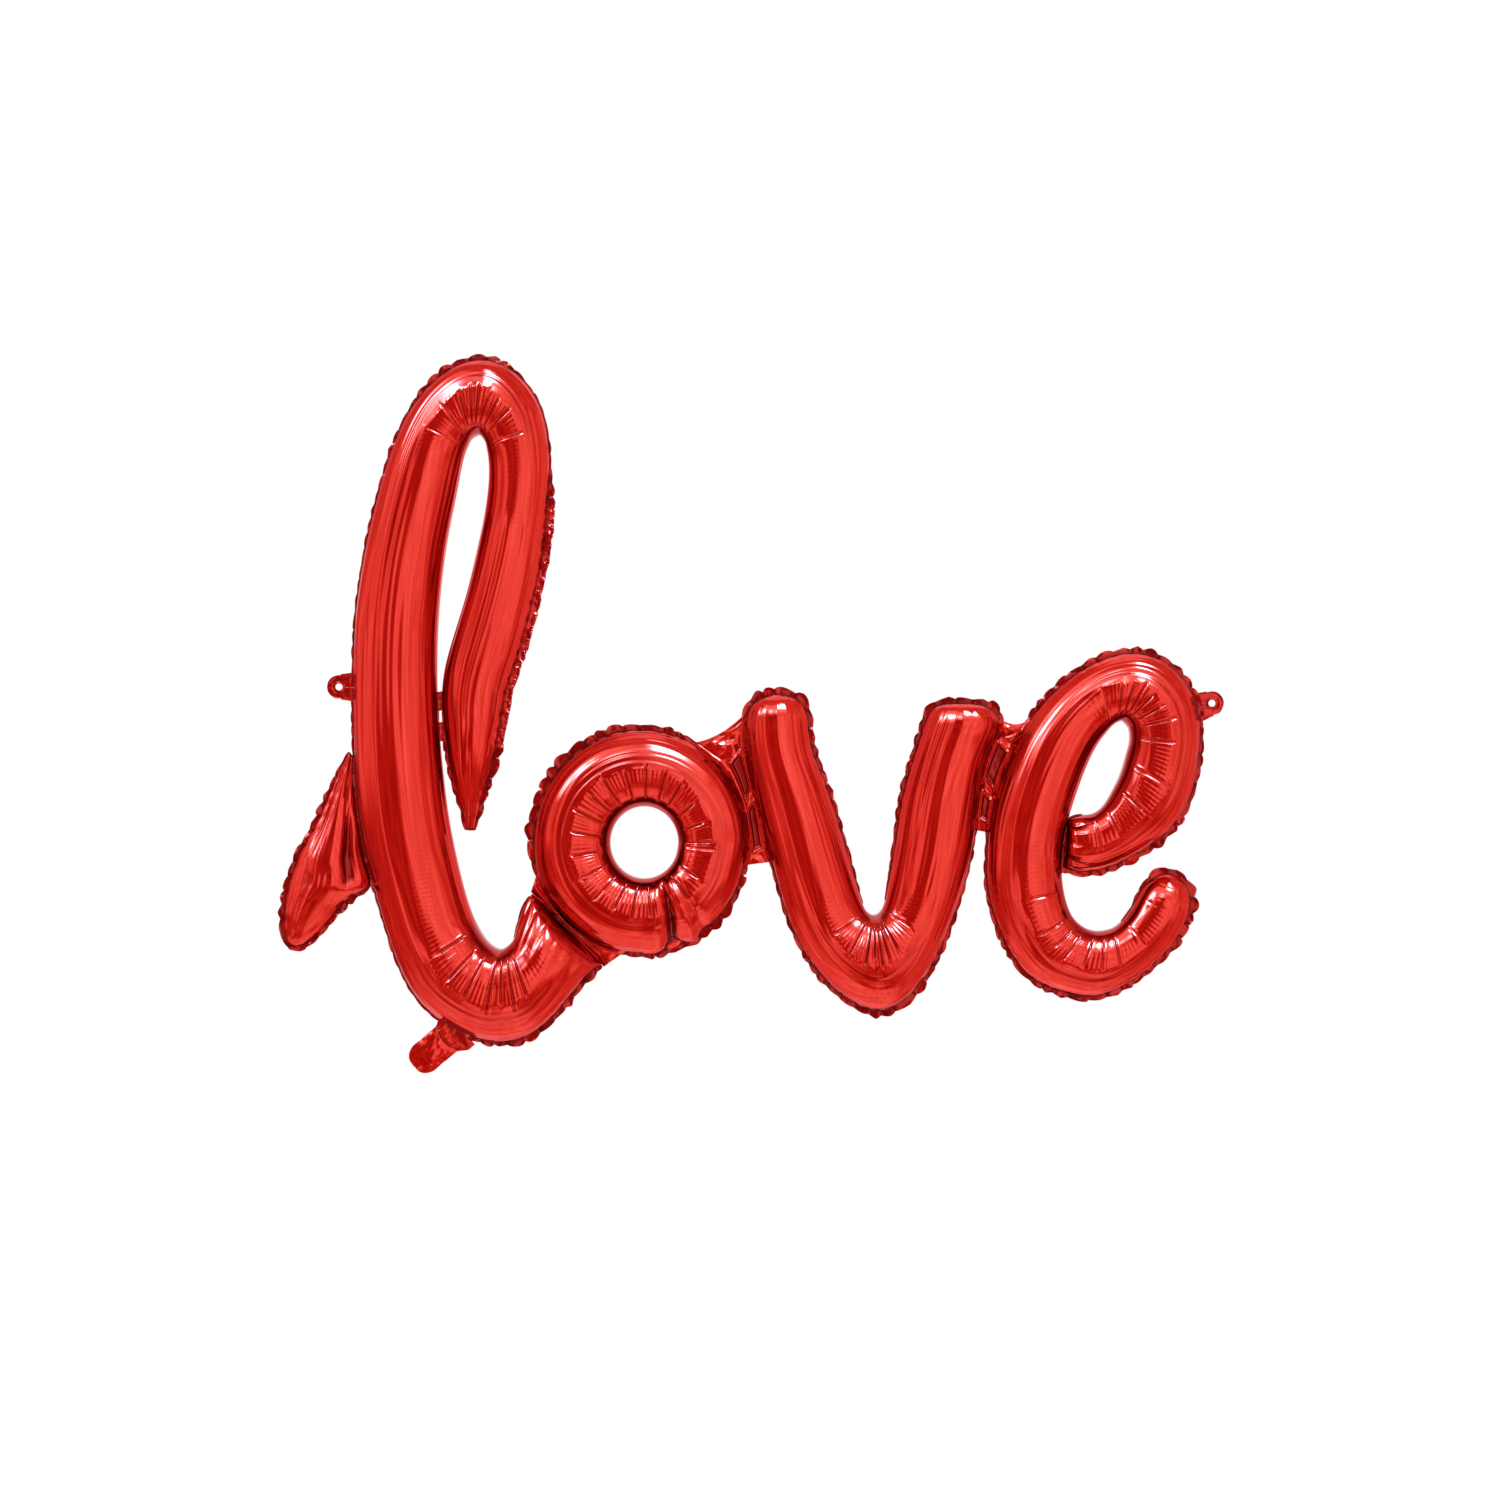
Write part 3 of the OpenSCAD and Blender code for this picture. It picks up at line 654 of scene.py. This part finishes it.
def entry_extra(t, phi, s):
    """Lobe beside the stem: ridges that fan out from its top, a hollow along the stem, and dents."""
    top = 1 - smooth(2.0, 7.5, t)
    q = phi / np.pi
    fan = -2.2 * MM * (0.15 + top) * (1 - cusps(q * 2.6 + 0.1 + 0.1 * noise(s / 0.03, 0.5, 73), 0.8))
    dent = -MM * (1.5 * bell(t - 5.3 - 1.2 * np.cos(phi), 0.5) + 0.8 * bell(t - 4.3 + np.cos(phi), 0.4)
                  + 0.7 * bell(t - 7.0 + 0.6 * np.cos(2 * phi), 0.4))
    hollow = -4.5 * MM * bell(q - 0.17 - 0.03 * t, 0.08) * smooth(1.5, 3.0, t) * (1 - smooth(4.6, 5.4, t))
    return fan + dent + hollow + 0.35 * MM * noise(q * 6, s / 0.03, 74)


def o_extra(t, phi, s):
    """The o's one deep pucker at its lower right, from hole to outer edge, with bulges on either side."""
    c = (1 - np.cos(phi)) / 2
    d = t - 9.92 + 0.3 * c
    deep = smooth(0.04, 0.3, c) * (0.6 + 0.4 * smooth(0.3, 0.8, c))
    bulges = 2.6 * bell(d + 0.36, 0.2) + 3.4 * bell(d - 0.34, 0.15) - 1.8 * bell(d - 0.62, 0.1)
    return deep * MM * (bulges - 9.0 * np.exp(-(np.abs(d) / 0.13) ** 1.3))


def e_extra(t, phi, s):
    """Crumpled end of the crossbar, where it butts against the stem."""
    folds = phi / np.pi * 4 + 0.25 * noise(s / 0.01, 0.5, 76)
    return -(1 - smooth(0.8, 2.6, t)) * 3.2 * MM * (1 - cusps(folds, 0.8))


l_seal = letter("l", "l", L_RIBS, 92, 1, "l", tuck_last=44 * MM, extra=l_extra, spread=1.32)
en_seal = letter("entry", "l_entry", ENTRY_RIBS, 84, 2, "l", extra=entry_extra, full=LOBE_FULLNESS)
o_seal = letter("o", "o", O_RIBS, 96, 3, "o", fine=0.62, closed=True, extra=o_extra, spread=1.1)
v_seal = letter("v", "v", V_RIBS, 96, 4, "v", fine=0.62, spread=1.14)
e_seal = letter("e", "e", E_RIBS, 92, 5, "e", tuck_first=7 * MM, extra=e_extra, spread=1.27)


# Folds
def fold_at(name):
    """Place of a joint's fold, and the unit directions away from it and along it, in the word's plane."""
    x, _, z = JOINTS[name]["axis"]
    return np.array(JOINTS[name]["pos_m"])[[0, 2]], np.array([z, -x]), np.array([x, z])


def bend_across(obj):
    """Bakes a piece's placement into its mesh."""
    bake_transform(obj)


# Pinched webs between the letters
# Grain of the crumple, distance from a letter over which it grows, and the lip that frames a weld
WEB_GRAIN, WEB_EDGE, LIP_WIDE, LIP_HIGH = 5.5 * MM, 3.5 * MM, 1.3 * MM, 2.4 * MM
# Half the gap between the two foils, how high they climb beside a letter, and over what distance at most
WEB_GAP, CLIMB_HIGH, CLIMB_WIDE = 0.15 * MM, 7 * MM, 8 * MM
# Points along an edge line, and how far it lies inside the letter
EDGE_POINTS, EDGE_INSET = 60, 1.5 * MM


def web(name, left, right, rows, cols, seed, welds=(), knots=(), sag=0, middle_shade=0):
    """Double foil pinched flat between two edge lines: a sheet ruled from one to the other, its top
    sagging, softly crumpled, with crumpled knots and with flat welded patches framed by raised lines.
    Welds are given as two shares along and two across, knots as a share along, one across and two sizes
    in millimetres."""
    p = np.linspace(0, 1, rows)
    lines = [np.stack([np.interp(p, np.linspace(0, 1, len(x)), x[:, i]) for i in (0, 1)], 1)
             for x in (left, right)]
    q = np.linspace(0, 1, cols)[None, :]
    xz = lines[0][:, None, :] * (1 - q[..., None]) + lines[1][:, None, :] * q[..., None]
    p = p[:, None]
    xz[..., 1] -= sag * MM * 4 * q * (1 - q) * (1 - smooth(0, 0.35, p))
    length = np.linalg.norm(lines[0][-1] - lines[0][0])
    span = np.linalg.norm(lines[1] - lines[0], axis=1)[:, None]
    aside = np.minimum(q, 1 - q) * span
    away = np.minimum(1, aside / WEB_EDGE)
    u, v = p * length / WEB_GRAIN, q * span / WEB_GRAIN
    y = -MM * away * 4.6 * (ridged(u * 0.30, v * 0.36, seed + 5, 1) - 0.28)
    # Painted shade: darker next to the letters and, if given, along the middle of the web; less in the
    # knots
    shade = middle_shade * smooth(0.08, 0.3, p) * (1 - smooth(0.75, 0.95, p)) + 0.1 * (1 - away)
    for kp, kq, tall, wide in knots:
        k = bell((p - kp) * length, tall * MM) * bell((q - kq) * span, wide * MM) * away
        y -= k * MM * (0.5 * tall + 2.0) * (ridged(u * 0.38, v * 0.38, seed + 3, 1) - 0.22)
        shade = shade * (1 - 0.9 * k)
    # Painted shade inside each weld; its raised frame keeps the foil's own colour
    for p0, p1, q0, q1 in welds:
        d = np.maximum(np.maximum(p0 - p, p - p1) * length, np.maximum(q0 - q, q - q1) * span)
        inside = 1 - smooth(-0.8 * MM, 0.2 * MM, d)
        lip = bell(d, LIP_WIDE)
        y = y * (1 - 0.8 * inside) - LIP_HIGH * lip
        shade = np.clip(shade + 0.95 * inside - lip, 0, 1)
    climb = np.maximum(1 - aside / np.minimum(0.36 * span, CLIMB_WIDE), 0) ** 2
    piece = Piece()
    for side in (-1, 1):
        foil = side * (WEB_GAP + CLIMB_HIGH * climb - y)
        piece.grid(np.stack([xz[..., 0], foil, xz[..., 1]], -1), shade=shade, flip=side > 0)
    obj = piece.make(name, RED, "red_foil")
    bend_across(obj)


def edge_between(ribs, t0, t1, closed=False):
    """Points on a letter's outer edge from rib number t0 to t1, set in a little."""
    e = cubic(ribs, np.linspace(t0, t1, EDGE_POINTS), closed) * MM
    a, b = e[:, :2], e[:, 2:]
    return b - (b - a) / np.linalg.norm(b - a, axis=1)[:, None] * EDGE_INSET


web("l_o_web", np.array([[177, -188], [244, -257]]) * MM, edge_between(O_RIBS, 6.5, 8.75, True),
    110, 36, seed=21, knots=((0.03, 0.4, 7, 5), (0.96, 0.5, 8, 6)), middle_shade=0.25)
web("o_v_web", edge_between(O_RIBS, 2.1, -0.42, True), edge_between(V_RIBS, 1.3, 6.25),
    220, 70, seed=22, sag=8, welds=((0.33, 0.60, 0.32, 0.70), (0.69, 0.93, 0.34, 0.72)),
    knots=((0.12, 0.35, 14, 12), (0.24, 0.55, 8, 7), (0.645, 0.5, 5, 6), (0.98, 0.5, 5, 5)))
web("v_e_web", edge_between(V_RIBS, 20.4, 16.45), edge_between(E_RIBS, 15.3, 18.5),
    180, 60, seed=23, sag=9, welds=((0.36, 0.66, 0.26, 0.74), (0.75, 0.92, 0.28, 0.74)),
    knots=((0.10, 0.5, 12, 12), (0.27, 0.45, 8, 7), (0.705, 0.5, 5, 6), (0.97, 0.5, 5, 5)))

# Tail, valve, tabs, small welds
# Ends of the tail's foils and of the valve's films in millimetres from the tail's fold, their half widths,
# and the radius of the tail's corners
TAIL_FROM, TAIL_TO, FILM_FROM, FILM_TO = -14, 42, -55, 36
TAIL_HALF, FILM_HALF, TAIL_CORNER = 15 * MM, 11 * MM, 12 * MM
# Radius of a tab's round end, half its width, and how far its root runs on past the fold, in millimetres
TAB_ROUND, TAB_HALF, TAB_ROOT = 11, 12, 6


def tail_sheets():
    """Filling tail: two foils with rounded corners, a little apart along the middle and welded at the
    sides, softly dented, running back under the border of the l behind a curved weld."""
    at, way, across = fold_at("tail_flap")
    u = np.linspace(TAIL_FROM, TAIL_TO, 141)[:, None] * MM
    q = np.linspace(-1, 1, 61)[None, :]
    end = np.clip((u - TAIL_TO * MM) / TAIL_CORNER + 1, 0, 1)
    half = TAIL_HALF - TAIL_CORNER * (1 - np.sqrt(np.clip(1 - end ** 2, 0, 1)))
    half = half + 0.5 * MM * noise(u / (7 * MM), 0.4, 31) + 6 * MM * smooth(4 * MM, -8 * MM, u)
    weld = bell(u - 5 * MM + 4 * MM * q ** 2, 1.2 * MM)
    dents = 0.9 * MM * (ridged(u / (14 * MM), q * 1.3, 34) - 0.62)
    lift = 0.9 * MM * (1 - q ** 4) + 2.2 * MM * (1 - q ** 2) * bell(u - 18 * MM, 12 * MM)
    # Painted shade along the curved weld and where the tail runs in under the l
    shade = np.clip(0.8 * weld + 0.5 * smooth(2 * MM, -8 * MM, u), 0, 1)
    xz = at + way * u[..., None] + across * (half * q)[..., None]
    uv = np.stack([np.broadcast_to(u, weld.shape), half * q], -1) * UV
    piece = Piece()
    for side, seed in ((-1, 32), (1, 33)):
        y = side * lift * (1 - 0.8 * weld) - dents + 0.35 * MM * noise(u / (5 * MM), q * 3, seed)
        piece.grid(np.stack([xz[..., 0], y, xz[..., 1]], -1), uv, flip=side > 0, shade=shade)
    return piece


tail = tail_sheets().make("tail_foils", RED, "red_foil", replaces=("tail_front_foil", "tail_back_foil"))
bend_across(tail)


def valve_sheets():
    """The two valve films, flat between the tail's foils and a little wavy where they reach into the l."""
    at, way, across = fold_at("tail_flap")
    u = np.linspace(FILM_FROM, FILM_TO, 92)[:, None] * MM
    q = np.linspace(-1, 1, 25)[None, :]
    piece = Piece()
    inside = smooth(-4 * MM, -24 * MM, u)
    for side in (-1, 1):
        y = side * (0.15 + 1.2 * inside * (1 - q ** 2)) + 1.2 * inside * noise(u / (12 * MM), q * 1.5, 36)
        xz = at + way * u[..., None] + across * (FILM_HALF * q)[..., None]
        piece.grid(np.stack([xz[..., 0], y * MM, xz[..., 1]], -1), flip=side > 0)
    return piece


films = valve_sheets().make("valve_films", FILM, "valve_film",
                            replaces=("valve_film_front", "valve_film_back"))
bend_across(films)


def tab(name, node, joint, hole, seed):
    """Punched hanging tab: rings of points from the hole's edge out to the tab's outline, dished a
    little, with a raised lip round the hole. Its outline is round at the end and square at the root."""
    root_at, way, across = fold_at(joint)
    at, bore = np.array(MOUNTS[hole]["pos_m"])[[0, 2]], MOUNTS[hole]["dims"]["r_mm"] * MM
    th = np.linspace(0, 2 * np.pi, 145)[:, None]
    f = np.linspace(0, 1, 13)[None, :]
    x, z = np.cos(th), np.sin(th)
    root, side = np.linalg.norm(root_at - at) / MM + TAB_ROOT, TAB_HALF + 1.5 * smooth(0.2, 0.9, x)
    square = np.minimum(root / np.maximum(x, 1e-3), side / np.maximum(np.abs(z), 1e-3))
    tip = TAB_ROUND + 0.25 * noise(th * 2, 0.5, seed)
    outer = np.where(x > 0.15, np.maximum(square, TAB_ROUND), tip) * MM
    r = bore * (1 - f) + outer * f
    lip = 0.5 * bell(r - bore - 0.4 * MM, 0.7 * MM)
    dish = f * (0.7 * noise(th * 1.6, f * 2, seed + 1) - 0.4 * (1 - cusps(f * 2, 0.8)))
    y = MM * (dish - lip)
    y[-1] = y[0]
    xz = at + way * (r * x)[..., None] + across * (r * z)[..., None]
    # A little painted shade all over the tab
    sheet = Piece().grid(np.stack([xz[..., 0], y, xz[..., 1]], -1), shade=0.05)
    obj = sheet.make(name, SEAL, "seal_foil", replaces=(node,))
    bend_across(obj)


tab("left_tab_sheet", "left_hanging_tab", "left_tab_flap", "left_hanging_hole", 51)
tab("right_tab_sheet", "right_hanging_tab", "right_tab_flap", "right_hanging_hole", 53)


def patch(piece, corners, rows, cols, seed, high, slit=None):
    """A small crumpled weld over four corners given in millimetres, with an open slit if one is given."""
    a, b, c, d = (np.array(x) * MM for x in corners)
    p, q = np.linspace(0, 1, rows)[:, None, None], np.linspace(0, 1, cols)[None, :, None]
    xz = (a * (1 - p) + d * p) * (1 - q) + (b * (1 - p) + c * p) * q
    y = -high * MM * (ridged(p[..., 0] * 5, q[..., 0] * 2, seed) - 0.6) * 2
    hide = None
    if slit is not None:
        x, z, w, h = (v * MM for v in slit)
        hide = (np.abs(xz[..., 0] - x) < w / 2) & (np.abs(xz[..., 1] - z) < h / 2)
    # Painted shade over the whole weld
    piece.grid(np.stack([xz[..., 0], y, xz[..., 1]], -1), shade=0.2, hide=hide)


patch(l_seal, ((89, -50), (100, -50), (99, -3), (89, -5)), 120, 30, 61, 0.8, slit=(93.4, -27, 2.2, 10))
patch(e_seal, ((662, -169), (672, -169), (675, -122), (666, -123)), 60, 24, 62, 1.2)
l_seal.make("l_seal", SEAL, "seal_foil", "l", ["l_heat_seal"])
en_seal.make("l_entry_seal", SEAL, "seal_foil", "l")
o_seal.make("o_seal", SEAL, "seal_foil", "o", ["o_heat_seal"])
v_seal.make("v_seal", SEAL, "seal_foil", "v", ["v_heat_seal"])
e_seal.make("e_seal", SEAL, "seal_foil", "e", ["e_heat_seal"])

# Floor, in metres
LEFT, RIGHT, FRONT, BACK, LEVEL = -3, 4, -4, 1.3, -1.2
corners = [(LEFT, FRONT, LEVEL), (RIGHT, FRONT, LEVEL), (RIGHT, BACK, LEVEL), (LEFT, BACK, LEVEL)]
floor_mesh = bpy.data.meshes.new("floor")
floor_mesh.from_pydata(corners, [], [(0, 1, 2, 3)])
floor = bpy.data.objects.new("floor", floor_mesh)
scene.collection.objects.link(floor)
pale, _, bsdf = new_material("pale_floor")
bsdf.inputs["Base Color"].default_value = (0.93, 0.93, 0.93, 1)
bsdf.inputs["Specular IOR Level"].default_value = 0.0
floor_mesh.materials.append(pale)
floor.visible_glossy = False

# Light: azimuth and height of a ray in degrees. Azimuth 0 is in front of the word, positive to its right
DEGREES = 180 / np.pi
world = bpy.data.worlds.new("studio")
scene.world = world
world.use_nodes = True
tree = world.node_tree
tree.nodes.clear()
ray = tree.nodes.new("ShaderNodeTexCoord").outputs["Generated"]
split = tree.nodes.new("ShaderNodeSeparateXYZ")
tree.links.new(ray, split.inputs[0])
front = maths(tree, "MULTIPLY", split.outputs[1], -1.0)
around = maths(tree, "MULTIPLY", maths(tree, "ARCTAN2", split.outputs[0], front), DEGREES)
behind = maths(tree, "ABSOLUTE", around)
above = maths(tree, "MULTIPLY", maths(tree, "ARCSINE", split.outputs[2]), DEGREES)


def step(value, lo, hi):
    """Smooth step of a socket: 0 at lo, 1 at hi."""
    node = tree.nodes.new("ShaderNodeMapRange")
    node.interpolation_type = "SMOOTHSTEP"
    node.inputs["From Min"].default_value, node.inputs["From Max"].default_value = lo, hi
    tree.links.new(value, node.inputs["Value"])
    return node.outputs["Result"]


def panel(turn, az, el, soft):
    """Mask of a soft-edged panel between two azimuths and two heights in degrees."""
    mask = 1.0
    for value, (lo, hi) in ((turn, az), (above, el)):
        mask = maths(tree, "MULTIPLY", mask, step(value, lo - soft, lo + soft))
        mask = maths(tree, "MULTIPLY", mask, step(value, hi + soft, hi - soft))
    return mask


def background(colour=None, strength=1.0):
    """Background of a colour socket, or white."""
    node = tree.nodes.new("ShaderNodeBackground")
    node.inputs["Strength"].default_value = strength
    if colour is None:
        node.inputs["Color"].default_value = (1, 1, 1, 1)
    else:
        tree.links.new(colour, node.inputs["Color"])
    return node.outputs[0]


def switch(factor, first, second):
    """First shader where the factor is 0, second where it is 1."""
    node = tree.nodes.new("ShaderNodeMixShader")
    for socket, v in zip(node.inputs, (factor, first, second)):
        tree.links.new(v, socket)
    return node.outputs[0]


# Ray depths up to which a ray that meets the room or a lamp was mirrored once, or twice
MIRRORED_ONCE, MIRRORED_TWICE = 2.5, 3.5
# Brightness of the room, what is added from below, and the scale and share of its clutter
ROOM, FROM_BELOW, CLUTTER_SCALE, CLUTTER = 0.70, 0.24, 6.0, 0.6
# Its least, its most in second and later reflections, and the light on what is no mirror
LEAST, MOST, PLAIN = 0.25, 0.9, 0.8
# Powers of the brightness that give red, green and blue, and shares of it in second and later reflections
POWERS, SECOND, LATER = (1.0, 3.3, 3.8), (0.75, 2.0, 2.2), (0.35, 1.0, 1.2)
# What the foil mirrors: a grey room with lighter and darker panels, the darker the warmer
clutter = maths(tree, "SUBTRACT", noise_node(tree, ray, CLUTTER_SCALE, 3.0), 0.5)
light = maths(tree, "MULTIPLY_ADD", step(above, -40, -58), FROM_BELOW, ROOM)
light = maths(tree, "MULTIPLY_ADD", clutter, CLUTTER, light)
# Panels: azimuth socket, azimuths, heights, softness of the edges and the brightness that they add
PANELS = (
    (around, (-36, -2), (-30, 26), 3, -0.24), (around, (-50, -38), (-30, 30), 3, 0.20),
    (around, (-62, -48), (-30, 24), 4, -0.10), (around, (-100, -64), (-4, 30), 5, 0.18),
    (around, (4, 46), (-22, 32), 3, 0.26), (around, (46, 64), (-20, 30), 5, 0.18),
    (around, (80, 150), (-24, 24), 6, 0.08), (around, (-60, 70), (-44, -26), 5, -0.14),
    (around, (-170, -54), (-52, -26), 6, 0.14), (around, (-172, -66), (-24, -6), 5, -0.18),
    (around, (-88, 56), (32, 66), 5, 0.44), (around, (-66, -44), (34, 47), 7, 1.7),
    (around, (-74, -64), (24, 36), 4, 1.3), (around, (-52, -42), (24, 36), 5, 0.7),
    (around, (14, 46), (46, 76), 8, 2.0), (around, (-24, -8), (32, 46), 5, 0.9),
    (behind, (152, 190), (24, 72), 7, 0.34), (behind, (146, 190), (-72, -20), 8, 0.20))
for turn, az, el, soft, value in PANELS:
    light = maths(tree, "ADD", light, maths(tree, "MULTIPLY", panel(turn, az, el, soft), value))
light = maths(tree, "MAXIMUM", light, LEAST)
tone = tree.nodes.new("ShaderNodeCombineColor")
for socket, power in zip(tone.inputs, POWERS):
    tree.links.new(maths(tree, "POWER", light, power), socket)
# The white backdrop behind the word is what the camera sees, and what the foil's rims mirror
seen = tree.nodes.new("ShaderNodeLightPath").outputs
mirrored = maths(tree, "MAXIMUM", seen["Is Glossy Ray"], seen["Is Transmission Ray"])
once = maths(tree, "MULTIPLY", mirrored, maths(tree, "LESS_THAN", seen["Ray Depth"], MIRRORED_ONCE))
backdrop = maths(tree, "MULTIPLY", once, panel(behind, (152, 190), (-34, 34), 8))
# Red mirrored in red would come out too deep and speckled, so the second reflections, and again the third
# and later ones, see a room with less red in it
room = background(tone.outputs[0])
for depth, shares in ((MIRRORED_ONCE, SECOND), (MIRRORED_TWICE, LATER)):
    echo = tree.nodes.new("ShaderNodeCombineColor")
    for socket, share in zip(echo.inputs, shares):
        tree.links.new(maths(tree, "MULTIPLY", maths(tree, "MINIMUM", light, MOST), share), socket)
    room = switch(maths(tree, "GREATER_THAN", seen["Ray Depth"], depth), room, background(echo.outputs[0]))
studio = switch(mirrored, background(strength=PLAIN), room)
white = maths(tree, "MAXIMUM", seen["Is Camera Ray"], backdrop)
out = tree.nodes.new("ShaderNodeOutputWorld")
tree.links.new(switch(white, studio, background()), out.inputs["Surface"])


def lamp(name, place, target, wide, tall, radiance):
    """A soft rectangular lamp at a place, facing a target, of a given brightness. It lights the foil and is
    mirrored in it once, not from foil to foil."""
    data = bpy.data.lights.new(name, "AREA")
    data.shape, data.size, data.size_y = "RECTANGLE", wide, tall
    data.energy = radiance * np.pi * wide * tall
    obj = bpy.data.objects.new(name, data)
    obj.location = place
    obj.rotation_euler = (Vector(place) - Vector(target)).to_track_quat("Z", "Y").to_euler()
    obj.visible_camera = False
    data.cycles.max_bounces = 0
    data.use_nodes = True
    glow = data.node_tree
    depth = glow.nodes.new("ShaderNodeLightPath").outputs["Ray Depth"]
    first = maths(glow, "LESS_THAN", depth, MIRRORED_ONCE)
    glow.links.new(first, glow.nodes["Emission"].inputs["Strength"])
    scene.collection.objects.link(obj)


lamp("left_softbox", (-0.34, -0.55, 0.70), (0.23, 0.0, -0.07), 0.15, 0.22, 18)
lamp("right_softbox", (1.09, -1.59, 2.65), (0.38, 0.0, -0.03), 0.9, 0.4, 16)

# Camera straight in front of the word: its distance, the width that it sees there, and its sensor's
DISTANCE, VIEW, SENSOR = 3.0, 1.38, 36
cam = bpy.data.cameras.new("camera")
cam.sensor_width, cam.lens = SENSOR, SENSOR * DISTANCE / VIEW
camera = bpy.data.objects.new("camera", cam)
camera.location = (0.3781, -DISTANCE, -0.058)
camera.rotation_euler = (np.pi / 2, 0, 0)
scene.collection.objects.link(camera)
scene.camera = camera
scene.view_settings.view_transform = "Standard"

bpy.context.view_layer.update()
